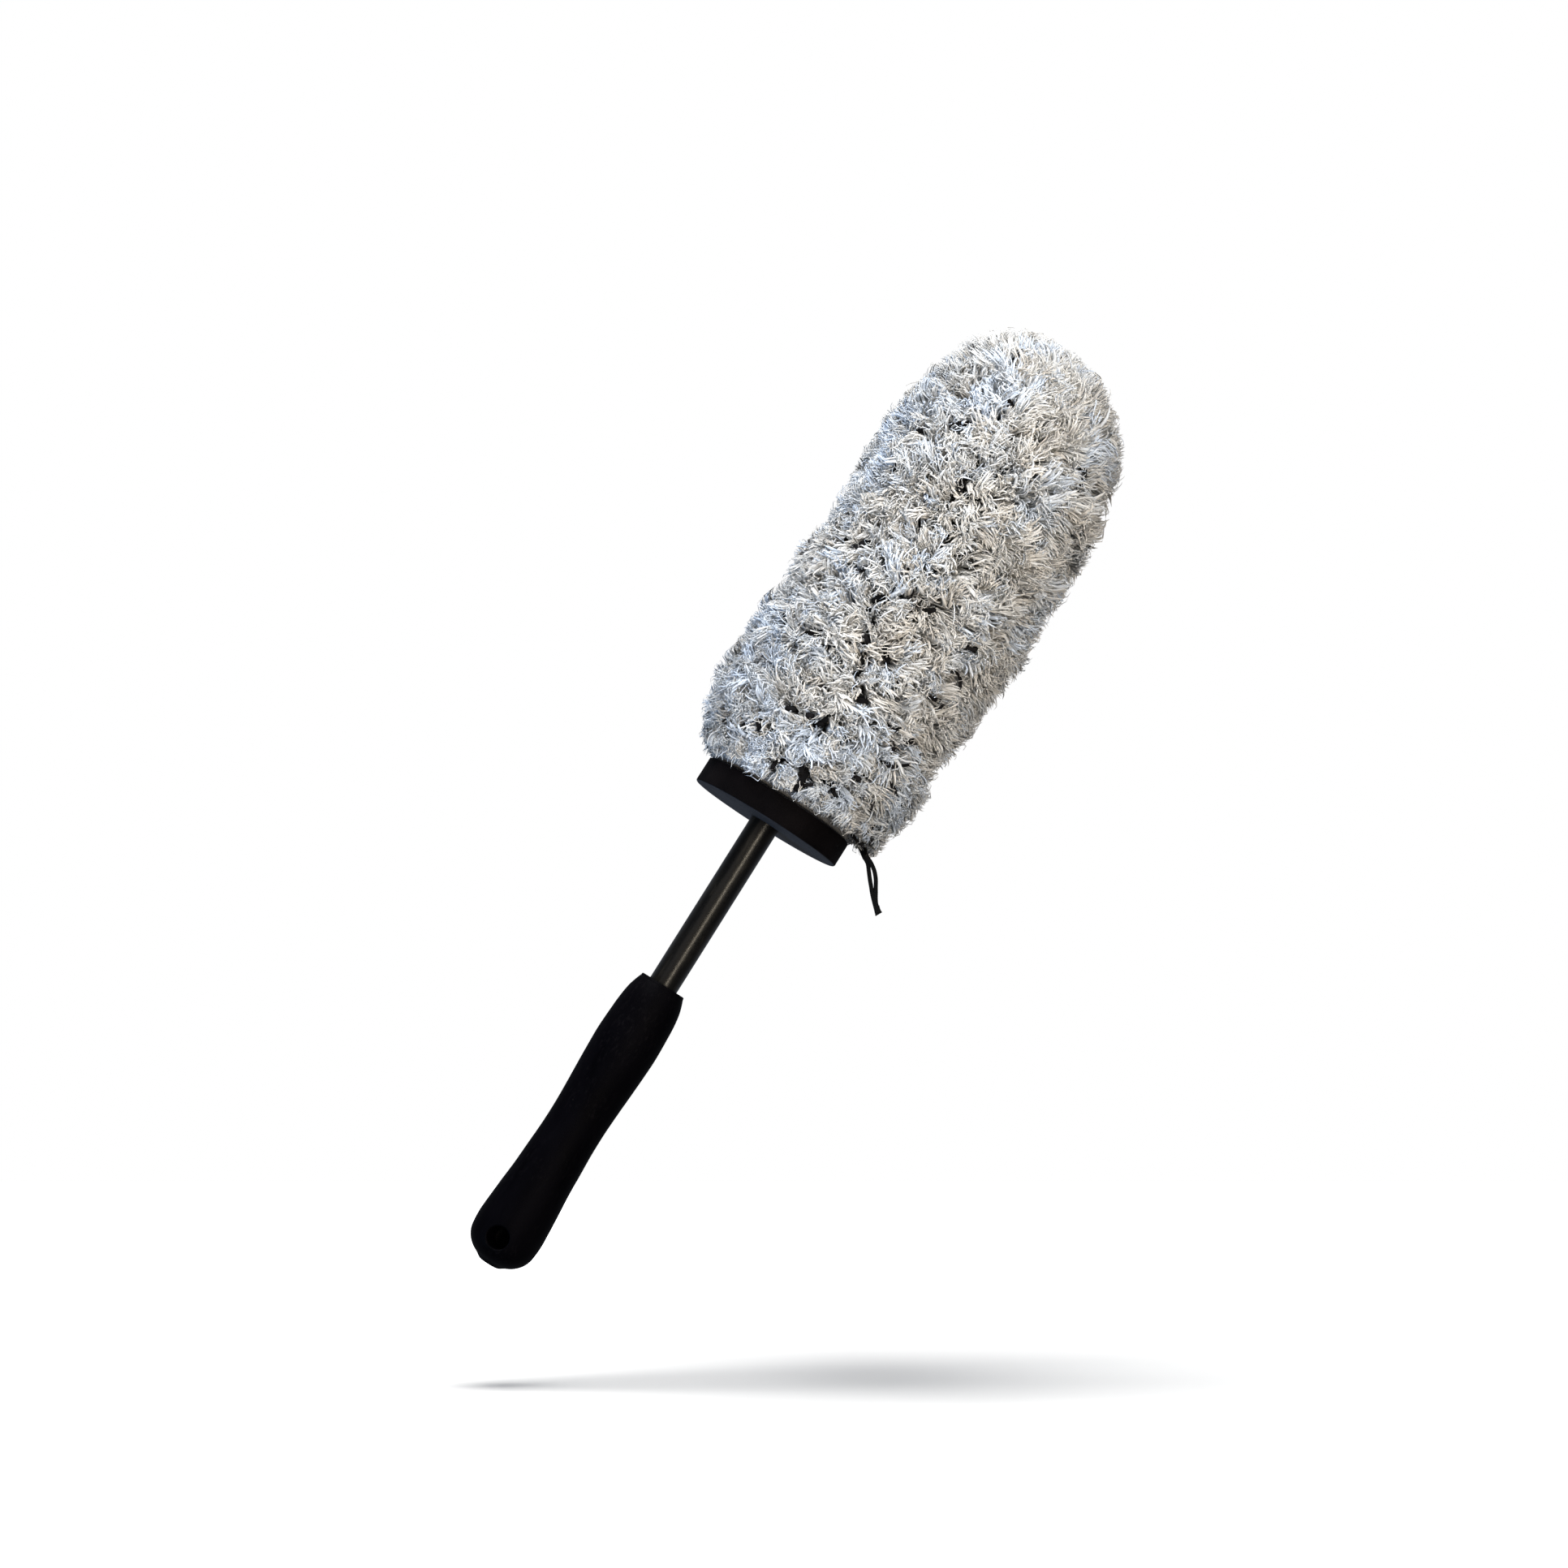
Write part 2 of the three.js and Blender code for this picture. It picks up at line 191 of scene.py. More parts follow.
def fillets(points, radii, steps=4):
    """Round the corners of a closed (r, z) polygon, one radius to a corner."""
    pts = np.array(points, float)
    out = []
    for i, (corner, bend) in enumerate(zip(pts, radii)):
        if bend <= 0:
            out.append(corner)
            continue
        back, ahead = pts[i - 1] - corner, pts[(i + 1) % len(pts)] - corner
        back_len, ahead_len = np.linalg.norm(back), np.linalg.norm(ahead)
        back, ahead = back / back_len, ahead / ahead_len
        half = math.acos(max(-1, min(1, float(back @ ahead)))) / 2
        cut = min(bend / math.tan(half), 0.48 * back_len, 0.48 * ahead_len)
        bend = cut * math.tan(half)
        middle = back + ahead
        centre = corner + middle / np.linalg.norm(middle) * (bend / math.sin(half))
        start, end = corner + back * cut - centre, corner + ahead * cut - centre
        first = math.atan2(start[1], start[0])
        turn = (math.atan2(end[1], end[0]) - first + math.pi) % (2 * math.pi) - math.pi
        for k in range(steps + 1):
            t = first + turn * k / steps
            out.append(centre + bend * np.array([math.cos(t), math.sin(t)]))
    return np.array(out)


def subdivide(profile, step, closed=True):
    """Extra points, so that no gap in a profile is much over step."""
    out = []
    count = len(profile)
    for i in range(count if closed else count - 1):
        start, end = np.array(profile[i], float), np.array(profile[(i + 1) % count], float)
        parts = max(1, int(np.linalg.norm(end - start) / step))
        for k in range(parts):
            out.append(start + (end - start) * k / parts)
    if not closed:
        out.append(np.array(profile[-1], float))
    return out


def revolve(name, profile, segments=128, closed=False, sharp=50, wobble=None, wedge=None):
    """A lathe mesh from (r, z) points.

    closed joins the profile's ends. wobble(r, z, angle) moves a point. wedge is the first
    and last angle of a capped part turn.
    """
    profile = np.array(profile, float)
    count = segments + 1 if wedge else segments
    start, end = wedge or (0.0, 2 * math.pi)
    angles = start + (end - start) * np.arange(count) / segments
    verts, rows = [], []
    for r, z in profile:
        if r < 1e-6:
            rows.append([len(verts)] * count)
            verts.append((0, 0, z))
            continue
        rows.append(list(range(len(verts), len(verts) + count)))
        for a in angles:
            rr, zz = wobble(r, z, a) if wobble else (r, z)
            verts.append((rr * math.cos(a), rr * math.sin(a), zz))
    faces = []
    for i in range(len(rows) if closed else len(rows) - 1):
        here, after = rows[i], rows[(i + 1) % len(rows)]
        for k in range(count - 1 if wedge else count):
            j = (k + 1) % count
            quad = [here[k], here[j], after[j], after[k]]
            quad = [v for n, v in enumerate(quad) if v != quad[n - 1]]
            if len(quad) > 2:
                faces.append(quad)
    if wedge:
        for k in (0, count - 1):
            cap = []
            for row in rows:
                if not cap or cap[-1] != row[k]:
                    cap.append(row[k])
            faces.append(cap if k == 0 else cap[::-1])
    ob = outward(link(name, verts, faces), sharp)
    round_uv(ob.data)
    return ob


def round_uv(mesh):
    """UV in metres: distance round the axis at the median radius, and height."""
    index = corner_verts(mesh)
    co = positions(mesh)
    mean_r = float(np.median(np.hypot(co[:, 0], co[:, 1])))
    u = np.arctan2(co[:, 1], co[:, 0])[index] * mean_r
    starts = np.zeros(len(mesh.polygons), np.int32)
    totals = np.zeros(len(mesh.polygons), np.int32)
    mesh.polygons.foreach_get("loop_start", starts)
    mesh.polygons.foreach_get("loop_total", totals)
    # keep a face that crosses the seam of the angle on one side
    width = 2 * math.pi * mean_r
    for start, total in zip(starts, totals):
        part = u[start : start + total]
        if part.max() - part.min() > width / 2:
            u[start : start + total] = np.where(part < 0, part + width, part)
    set_uv(mesh, np.column_stack([u, co[:, 2][index]]))


def tube_faces(rings, sides, wrap=False):
    """Quads between rings of points. wrap joins the last ring to the first."""
    faces = []
    for i in range(rings if wrap else rings - 1):
        near, far = i * sides, (i + 1) % rings * sides
        for k in range(sides):
            j = (k + 1) % sides
            faces.append((near + k, near + j, far + j, far + k))
    return faces


def tube_uvs(along, sides):
    """Corner UVs for tube_faces: round the section 0..1, and along in metres."""
    uvs = []
    for v0, v1 in zip(along, along[1:]):
        for k in range(sides):
            u0, u1 = k / sides, (k + 1) / sides
            uvs += [(u0, v0), (u1, v0), (u1, v1), (u0, v1)]
    return uvs


def sweep(name, path, section, scale):
    """A capped section swept along a path. section: (along Y, across Y) pairs."""
    path = np.array(path, float)
    tangent = np.gradient(path, axis=0)
    tangent /= np.linalg.norm(tangent, axis=1)[:, None]
    y_axis = np.array((0, 1, 0), float)
    side = y_axis - (tangent @ y_axis)[:, None] * tangent
    side /= np.linalg.norm(side, axis=1)[:, None]
    normal = np.cross(side, tangent)
    scale = np.array(scale, float)[:, None]
    verts = (
        path[:, None, :]
        + side[:, None, :] * (section[None, :, 0] * scale)[:, :, None]
        + normal[:, None, :] * (section[None, :, 1] * scale)[:, :, None]
    ).reshape(-1, 3)
    sides = len(section)
    along = run_length(path) * MM
    faces = tube_faces(len(path), sides)
    uvs = tube_uvs(along, sides)
    faces.append(tuple(range(sides - 1, -1, -1)))
    uvs += [(k / sides, along[0]) for k in range(sides - 1, -1, -1)]
    last = (len(path) - 1) * sides
    faces.append(tuple(range(last, last + sides)))
    uvs += [(k / sides, along[-1]) for k in range(sides)]
    ob = link(name, verts, faces)
    set_uv(ob.data, uvs)
    return outward(ob, sharp=50)


# ------------------------------------------------------------------ material helpers
class Nodes:
    """Short ways to add nodes to a tree. Inputs take a socket or a plain value."""

    def __init__(self, tree):
        self.tree = tree

    def feed(self, socket, value):
        if isinstance(value, bpy.types.NodeSocket):
            self.tree.links.new(value, socket)
        else:
            socket.default_value = (*value, 1) if socket.type == "RGBA" else value

    def add(self, kind, inputs=None, **settings):
        node = self.tree.nodes.new(kind)
        for key, value in settings.items():
            setattr(node, key, value)
        for key, value in (inputs or {}).items():
            self.feed(node.inputs[key], value)
        return node

    def set(self, **values):
        """Feed the Principled BSDF. Underscores in a name stand for spaces."""
        for key, value in values.items():
            self.feed(self.bsdf.inputs[key.replace("_", " ")], value)

    def ramp(self, factor, *stops, interpolation="LINEAR"):
        """stops: (position, colour), where a lone number is a grey."""
        node = self.add("ShaderNodeValToRGB", {"Fac": factor})
        node.color_ramp.interpolation = interpolation
        elements = node.color_ramp.elements
        while len(elements) > 1:
            elements.remove(elements[-1])
        for i, (position, colour) in enumerate(stops):
            if i:
                stop = elements.new(position)
            else:
                stop = elements[0]
                stop.position = position
            stop.color = (*colour, 1) if isinstance(colour, tuple) else (*[colour] * 3, 1)
        return node.outputs["Color"]

    def mix(self, a, b, factor, blend="MIX"):
        inputs = {"Factor": factor, "A": a, "B": b}
        node = self.add("ShaderNodeMix", inputs, data_type="RGBA", blend_type=blend)
        return node.outputs["Result"]

    def multiply(self, a, b):
        return self.mix(a, b, 1.0, "MULTIPLY")

    def calc(self, operation, *values):
        inputs = dict(enumerate(values))
        return self.add("ShaderNodeMath", inputs, operation=operation).outputs[0]

    def vector(self, operation, *values):
        inputs = dict(enumerate(values))
        return self.add("ShaderNodeVectorMath", inputs, operation=operation).outputs

    def coords(self, along=1, x=1, y=1):
        """Object coordinates. An along below 1 draws a pattern out along the shaft."""
        source = self.add("ShaderNodeTexCoord").outputs["Object"]
        inputs = {"Scale": (x, y, along), "Vector": source}
        return self.add("ShaderNodeMapping", inputs).outputs["Vector"]

    def noise(self, vector, scale, detail=3.0, roughness=0.6):
        inputs = {"Scale": scale, "Detail": detail, "Roughness": roughness, "Vector": vector}
        return self.add("ShaderNodeTexNoise", inputs).outputs["Fac"]

    def voronoi(self, vector, scale):
        inputs = {"Scale": scale, "Vector": vector}
        return self.add("ShaderNodeTexVoronoi", inputs).outputs["Distance"]

    def axes(self, vector):
        return self.add("ShaderNodeSeparateXYZ", {0: vector}).outputs

    def combine(self, x, y):
        return self.add("ShaderNodeCombineXYZ", {"X": x, "Y": y}).outputs[0]

    def uv(self, layer="weave"):
        return self.axes(self.add("ShaderNodeUVMap", uv_map=layer).outputs["UV"])

    def wave(self, value):
        return self.calc("SINE", value)

    def bump(self, height, strength, distance):
        inputs = {"Strength": strength, "Distance": distance, "Height": height}
        self.set(Normal=self.add("ShaderNodeBump", inputs).outputs["Normal"])

    def dust(self, vector, scale, share, patch_scale):
        """White specks far apart, as a 0..1 mask."""
        speck = self.ramp(self.voronoi(vector, scale), (0.0, 1), (0.05, 0))
        patches = self.noise(vector, patch_scale, detail=1, roughness=0.5)
        keep = self.ramp(patches, (share, 0), (share + 0.03, 1))
        return self.calc("MULTIPLY", speck, keep)


def principled(name, roughness, specular, metallic=0.0):
    material = bpy.data.materials.new(name)
    material.use_nodes = True
    nodes = Nodes(material.node_tree)
    nodes.material = material
    nodes.bsdf = material.node_tree.nodes["Principled BSDF"]
    nodes.set(Roughness=roughness, Metallic=metallic, Specular_IOR_Level=specular)
    return nodes


# ------------------------------------------------------------------ materials
def soft_rubber():
    m = principled("grip_soft_rubber", roughness=0.55, specular=0.02)
    place = m.coords()
    fine = m.noise(place, scale=1900, detail=2)
    broad = m.noise(m.coords(along=0.35), scale=90)
    base = m.ramp(broad, (0.3, (0.0002, 0.0001, 0.0005)), (0.7, (0.0012, 0.0010, 0.0018)))
    # a mottled bloom, drawn out along the grip
    spots = m.noise(m.coords(along=0.45), scale=700, detail=4, roughness=0.7)
    bloom = m.ramp(spots, (0.52, 0), (0.75, 1))
    patch = m.ramp(m.noise(place, scale=45, detail=2, roughness=0.5), (0.42, 0), (0.62, 1))
    colour = m.mix(base, (0.0042, 0.0036, 0.0044), m.calc("MULTIPLY", bloom, patch))
    dust = m.dust(place, scale=230, share=0.60, patch_scale=120)
    m.set(Base_Color=m.mix(colour, (0.07, 0.066, 0.06), dust))
    m.set(Roughness=m.ramp(broad, (0.2, 0.48), (0.8, 0.66)))
    streak = m.noise(m.coords(along=0.3), scale=900)
    m.bump(m.calc("ADD", fine, streak), strength=0.30, distance=0.00010)
    return m.material


def black_tube():
    m = principled("tube_black_gloss", roughness=0.27, specular=0.27)
    big = m.noise(m.coords(along=0.22), scale=340, detail=6, roughness=0.68)
    small = m.noise(m.coords(along=0.6), scale=1700)
    dark, middle, pale = (0.0010, 0.0010, 0.0011), (0.0034, 0.0030, 0.0025), (0.015, 0.013, 0.010)
    m.set(Base_Color=m.ramp(big, (0.36, dark), (0.55, middle), (0.74, pale)))
    m.set(Roughness=m.ramp(small, (0.3, 0.25), (0.7, 0.37)))
    height = m.calc("ADD", m.calc("MULTIPLY", big, 0.7), m.calc("MULTIPLY", small, 0.5))
    m.bump(height, strength=0.04, distance=0.00004)
    return m.material


def guard_foam():
    m = principled("guard_closed_foam", roughness=0.72, specular=0.05)
    place = m.coords()
    cells = m.voronoi(place, scale=1500)
    broad = m.noise(place, scale=60)
    rim = m.ramp(broad, (0.3, (0.0013, 0.0011, 0.0015)), (0.72, (0.0044, 0.0034, 0.0038)))
    # the flat faces are painted greyer and bluer than the rim, a painted cool light that stands for the
    # light from below on the lower face; they are also shinier than the rim
    normal = m.axes(m.add("ShaderNodeNewGeometry").outputs["Normal"])
    flat = m.ramp(m.calc("ABSOLUTE", normal["Z"]), (0.55, 0), (0.85, 1))
    tone = m.noise(place, scale=160)
    painted_cool_face = m.ramp(tone, (0.3, (0.020, 0.022, 0.028)), (0.72, (0.034, 0.037, 0.045)))
    colour = m.mix(rim, painted_cool_face, flat)
    dust = m.dust(place, scale=190, share=0.54, patch_scale=110)
    m.set(Base_Color=m.mix(colour, (0.09, 0.085, 0.08), dust))
    m.set(Roughness=m.ramp(cells, (0.0, 0.60), (0.6, 0.80)))
    m.set(Specular_IOR_Level=m.calc("ADD", m.calc("MULTIPLY", flat, 0.12), 0.03))
    height = m.calc("ADD", cells, m.noise(place, scale=700))
    m.bump(height, strength=0.28, distance=0.00015)
    return m.material


def core_foam():
    m = principled("core_foam_grey", roughness=0.9, specular=0.2)
    place = m.coords()
    cells = m.voronoi(place, scale=900)
    base = m.ramp(cells, (0.0, (0.030, 0.032, 0.036)), (0.5, (0.075, 0.079, 0.086)))
    tone = m.ramp(m.noise(place, scale=55), (0.3, 0.75), (0.7, 1.1))
    m.set(Base_Color=m.multiply(base, tone))
    m.bump(cells, strength=0.6, distance=0.0004)
    return m.material


def hard_plastic():
    m = principled("hard_black_plastic", roughness=0.42, specular=0.5)
    place = m.coords()
    grain = m.noise(place, scale=1200)
    broad = m.noise(place, scale=120)
    m.set(Base_Color=m.ramp(broad, (0.3, (0.012, 0.012, 0.013)), (0.7, (0.022, 0.022, 0.023))))
    m.set(Roughness=m.ramp(grain, (0.3, 0.36), (0.7, 0.52)))
    m.bump(grain, strength=0.2, distance=0.0001)
    return m.material


def plated_steel():
    m = principled("plated_steel", roughness=0.35, specular=0.5, metallic=1.0)
    grain = m.noise(m.coords(along=6), scale=700)
    m.set(Base_Color=m.ramp(grain, (0.3, (0.42, 0.42, 0.41)), (0.7, (0.62, 0.61, 0.60))))
    m.set(Roughness=m.ramp(grain, (0.3, 0.25), (0.7, 0.45)))
    m.bump(grain, strength=0.1, distance=0.0001)
    return m.material


def woven(name, dark, light, pitch_u, pitch_v, roughness=0.88, sheen=0.25):
    """Plain weave from the "weave" UV layer. The pitches are in metres."""
    m = principled(name, roughness, specular=0.2)
    m.set(Sheen_Weight=sheen)
    uv = m.uv()
    warp = m.wave(m.calc("MULTIPLY", uv["X"], 2 * math.pi / pitch_u))
    weft = m.wave(m.calc("MULTIPLY", uv["Y"], 2 * math.pi / pitch_v))
    weave = m.calc("ADD", m.calc("MULTIPLY", m.calc("MULTIPLY", warp, weft), 0.5), 0.5)
    place = m.coords()
    fuzz = m.noise(place, scale=2500, detail=2)
    tone = m.noise(place, scale=80)
    height = m.calc("ADD", m.calc("MULTIPLY", weave, 0.55), m.calc("MULTIPLY", fuzz, 0.45))
    base = m.ramp(height, (0.25, dark), (0.75, light))
    m.set(Base_Color=m.multiply(base, m.ramp(tone, (0.3, 0.84), (0.7, 1.06))))
    m.bump(height, strength=0.5, distance=0.00025)
    return m.material


def braided_cord(strands=6, pitch=0.0011):
    """Two crossing sets of waves, from the "weave" UV layer."""
    m = principled("cord_black_braid", roughness=0.72, specular=0.10)
    m.set(Sheen_Weight=0.02)
    uv = m.uv()
    around = m.calc("MULTIPLY", uv["X"], 2 * math.pi * strands)
    along = m.calc("MULTIPLY", uv["Y"], 2 * math.pi / pitch)
    one_way = m.wave(m.calc("ADD", along, around))
    other_way = m.wave(m.calc("SUBTRACT", along, around))
    braid = m.calc("MAXIMUM", one_way, other_way)
    height = m.calc("ADD", braid, m.noise(m.coords(), scale=3000, detail=2))
    dark, light = (0.0008, 0.0009, 0.0011), (0.0058, 0.0064, 0.0075)
    m.set(Base_Color=m.ramp(m.calc("MULTIPLY", height, 0.5), (0.2, dark), (0.85, light)))
    m.bump(height, strength=0.5, distance=0.0002)
    return m.material


# u of the "OFBake" layer holds a strand's column: a hue, and a brightness inside it
HUES, LEVELS = 32, 8


def yarn(name, hues, levels, root_tip_painted_shade, sheen=0.2, roughness=0.7, specular=0.25, speckle=0.09):
    """Yarn: u picks a strand's hue and brightness, v runs from root to tip."""
    fibres = 0.12  # contrast of the fine fibres
    softness = 0.84  # how far the normal turns from the strand's own to straight out
    m = principled(name, roughness, specular)
    m.set(Sheen_Weight=sheen, Sheen_Roughness=0.5)
    uv = m.uv("OFBake")
    hue = m.ramp(uv["X"], *hues)
    within = m.calc("FRACT", m.calc("MULTIPLY", uv["X"], HUES))
    stops = [(i / LEVELS, value) for i, value in enumerate(levels)]
    level = m.ramp(within, *stops, interpolation="CONSTANT")
    # painted shade: much darker towards the root, down in the pile, and lifted a little past the middle of
    # the strand
    depth = m.ramp(uv["Y"], *root_tip_painted_shade)
    colour = m.multiply(m.multiply(hue, level), depth)
    # a slow change along each strand
    cell = m.calc("FLOOR", m.calc("MULTIPLY", uv["X"], HUES * LEVELS))
    slow = m.combine(cell, m.calc("MULTIPLY", uv["Y"], 5.0))
    slow = m.noise(slow, scale=1.7, detail=2, roughness=0.5)
    slow = m.ramp(slow, (0.3, 1 - speckle), (0.7, 1 + speckle * 0.5))
    colour = m.multiply(colour, slow)
    # finer fibres that run along it
    across = m.calc("MULTIPLY", uv["X"], HUES * LEVELS * 9.0)
    fine = m.combine(across, m.calc("MULTIPLY", uv["Y"], 7.0))
    fine = m.noise(fine, scale=1.0, detail=2)
    fine = m.ramp(fine, (0.35, 1 - fibres), (0.65, 1 + fibres * 0.4))
    m.set(Base_Color=m.multiply(colour, fine))
    # shade each strand partly as the pile's own surface, straight out from the shaft
    place = m.add("ShaderNodeTexCoord").outputs["Object"]
    flat = m.vector("MULTIPLY", place, (1, 1, 0))[0]
    straight_out = m.vector("NORMALIZE", flat)[0]
    normal = m.add("ShaderNodeNewGeometry").outputs["Normal"]
    inputs = {"Factor": softness, "A": normal, "B": straight_out}
    blend = m.add("ShaderNodeMix", inputs, data_type="VECTOR").outputs["Result"]
    m.set(Normal=m.vector("NORMALIZE", blend)[0])
    return m.material


GRIP = soft_rubber()
TUBE = black_tube()
GUARD = guard_foam()
FOAM = core_foam()
PLASTIC = hard_plastic()
STEEL = plated_steel()
BACKING = woven(
    "backing_knit_grey", dark=(0.20, 0.195, 0.19), light=(0.46, 0.45, 0.44),
    pitch_u=0.0011, pitch_v=0.0011,
)
HEM = woven(
    "hem_tape_grey", dark=(0.30, 0.305, 0.32), light=(0.60, 0.61, 0.64),
    pitch_u=0.0009, pitch_v=0.0007, roughness=0.8,
)
# a darker copy of the grey hem tape: painted shade for the ring that lies under the pile
HEM_PAINTED_SHADE = woven(
    "hem_tape_shaded", dark=(0.09, 0.09, 0.095), light=(0.26, 0.26, 0.27),
    pitch_u=0.0009, pitch_v=0.0007, roughness=0.85, sheen=0.1,
)
CORD = braided_cord()
PILE = yarn(
    "pile_microfibre",
    hues=[
        (0.0, (0.78, 0.735, 0.675)), (0.28, (0.81, 0.785, 0.75)), (0.55, (0.83, 0.83, 0.825)),
        (0.78, (0.80, 0.85, 0.92)), (1.0, (0.74, 0.84, 1.0)),
    ],
    levels=[0.55, 0.62, 0.69, 0.76, 0.83, 0.89, 0.95, 1.00],
    root_tip_painted_shade=[(0.0, 0.08), (0.30, 0.34), (0.46, 0.82), (0.64, 1.06), (0.86, 1.0), (1.0, 0.97)],
)
BLACK_YARN = yarn(
    "pile_black_yarn",
    hues=[(0.0, (0.0035, 0.0032, 0.0038)), (1.0, (0.013, 0.012, 0.0135))],
    levels=[0.6, 0.7, 0.8, 0.9, 1.0, 1.1, 1.25, 1.5],
    root_tip_painted_shade=[(0.0, 0.6), (1.0, 1.0)],
    sheen=0.04, roughness=0.85, specular=0.1, speckle=0.3,
)


def paint(ob, material):
    ob.data.materials.clear()
    ob.data.materials.append(material)


def piece(ob, material, body, slot, *replaced):
    paint(ob, material)
    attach(ob, body)
    if replaced:
        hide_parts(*replaced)


# ------------------------------------------------------------------ grip
# outline of the grip from the middle of its end to below its rim: r, z
GRIP_OUTLINE = [
    (0, 0), (2.4, 0.0), (4.5, 0.08), (6.9, 1.5), (9.6, 3.0), (11.8, 4.9), (13.3, 6.9),
    (14.3, 9.3), (14.85, 12.8), (15.05, 17.0), (14.9, 20.5), (14.2, 30.3), (13.35, 40.4),
    (12.87, 50.4), (12.4, 60.4), (12.35, 70.5), (12.75, 80.6), (13.3, 90.7), (13.76, 100.8),
    (13.92, 106.5), (13.6, 116.0), (13.15, 123.0), (12.3, 128.8), (11.03, 133.0), (10.35, 134.7),
]
RIM_R, RIM_CENTRE_R = 0.9, 9.55
SOCKET_R = 6.8  # bore at the grip's top, round the tube
CAVITY_R, CAVITY_Z0, CAVITY_Z1 = 9.5, 18.6, 133.5
# blind hole in the grip's front: radius, height, turn round the shaft, mouth fillet
HOLE_R, HOLE_Z, HOLE_TURN, HOLE_FILLET = 4.8, 12.3, math.radians(9.7), 0.8
HOLE_END, HOLE_END_BEND = -0.6, 1.4  # how far out the blind end lies, and its rounding
HOLE_SIDES = 112


def hole_cutter(outline):
    """A bar that flares at its mouth along the grip's own surface."""
    out_axis = np.array([-math.sin(HOLE_TURN), -math.cos(HOLE_TURN), 0])
    side_axis = np.array([math.cos(HOLE_TURN), -math.sin(HOLE_TURN), 0])
    angles = 2 * math.pi * np.arange(HOLE_SIDES) / HOLE_SIDES

    def ring(r, depth=0.0, reach=None):
        """A ring depth below the grip's surface, or at a fixed reach from the axis."""
        a, z = r * np.cos(angles), HOLE_Z + r * np.sin(angles)
        if reach is None:
            surface = np.interp(z, outline[:, 1], outline[:, 0])
            out = np.sqrt(np.maximum(surface**2 - a * a, 1)) - depth
        else:
            out = np.full(HOLE_SIDES, reach)
        return a[:, None] * side_axis + z[:, None] * np.array([0, 0, 1]) + out[:, None] * out_axis

    bends = np.radians([72, 60, 48, 36, 24, 12, 0])
    rings = [
        ring(HOLE_R + HOLE_FILLET + 0.35, reach=18.5),
        ring(HOLE_R + HOLE_FILLET * (1 - math.cos(bends[0])) + 0.12, depth=-0.10),
    ]
    for bend in bends:
        flare = HOLE_FILLET * (1 - math.cos(bend))
        rings.append(ring(HOLE_R + flare, depth=HOLE_FILLET * (1 - math.sin(bend))))
    # blind end, a little dished, just past the axis
    for bend in np.radians([0, 25, 50, 75]):
        r = HOLE_R - HOLE_END_BEND * (1 - math.cos(bend))
        rings.append(ring(r, reach=HOLE_END - HOLE_END_BEND * math.sin(bend)))
    faces = tube_faces(len(rings), HOLE_SIDES)
    faces.append(tuple(range(HOLE_SIDES)))
    faces.append(tuple(range((len(rings) - 1) * HOLE_SIDES, len(rings) * HOLE_SIDES))[::-1])
    return outward(link("hang_hole_cutter", np.vstack(rings), faces))


def build_grip():
    name = "grip_skin_moulded"
    outer = catmull(GRIP_OUTLINE, per=7)
    outer[0] = (0, 0)
    rim = []
    for k in range(1, 7):  # rounded rim into the flat top
        a = math.radians(28 + (90 - 28) * k / 6)
        z = GRIP_TOP - RIM_R + RIM_R * math.sin(a)
        rim.append((RIM_CENTRE_R + RIM_R * math.cos(a), z))
    inner = [
        (8.6, GRIP_TOP), (7.35, GRIP_TOP), (7.0, GRIP_TOP - 0.12), (6.85, GRIP_TOP - 0.4),
        (SOCKET_R, GRIP_TOP - 1.0), (SOCKET_R, CAVITY_Z1), (CAVITY_R, CAVITY_Z1),
        (CAVITY_R, CAVITY_Z0), (0, CAVITY_Z0),
    ]
    ob = revolve(name, np.vstack([outer, rim, inner]), segments=176, sharp=40)
    cutter = hole_cutter(outer)
    cut = ob.modifiers.new("hole", "BOOLEAN")
    cut.operation = "DIFFERENCE"
    cut.solver = "EXACT"
    cut.object = cutter
    graph = bpy.context.evaluated_depsgraph_get()
    mesh = bpy.data.meshes.new_from_object(ob.evaluated_get(graph))
    ob.modifiers.clear()
    ob.data = mesh
    mesh.name = name
    bpy.data.objects.remove(cutter)
    mesh.polygons.foreach_set("use_smooth", [True] * len(mesh.polygons))
    mesh.set_sharp_from_angle(angle=math.radians(38))
    return ob


piece(build_grip(), GRIP, "handle", "grip_rubber", "grip_skin")


# ------------------------------------------------------------------ tube
def build_tube():
    inner = TUBE_R - 1
    corners = [(inner, TUBE_Z0), (TUBE_R, TUBE_Z0), (TUBE_R, TUBE_Z1), (inner, TUBE_Z1)]
    profile = fillets(corners, [0.2] * 4, steps=3)
    return revolve("shaft_tube_drawn", profile, closed=True, sharp=40)


piece(build_tube(), TUBE, "handle", "tube_black", "shaft_tube")


# ------------------------------------------------------------------ guard
def soft_noise(seed, most_waves, terms=9):
    """A smooth function of angle, with period 2 pi, and of height: about -1 to 1."""
    rng = np.random.default_rng(seed)
    waves = rng.integers(1, most_waves + 1, terms)
    slopes = rng.uniform(0.02, 0.25, terms)
    phases = rng.uniform(0, 2 * math.pi, terms)
    weights = rng.uniform(0.4, 1, terms)
    weights /= weights.sum()
    return lambda angle, z: float(sum(weights * np.sin(waves * angle + slopes * z + phases)))


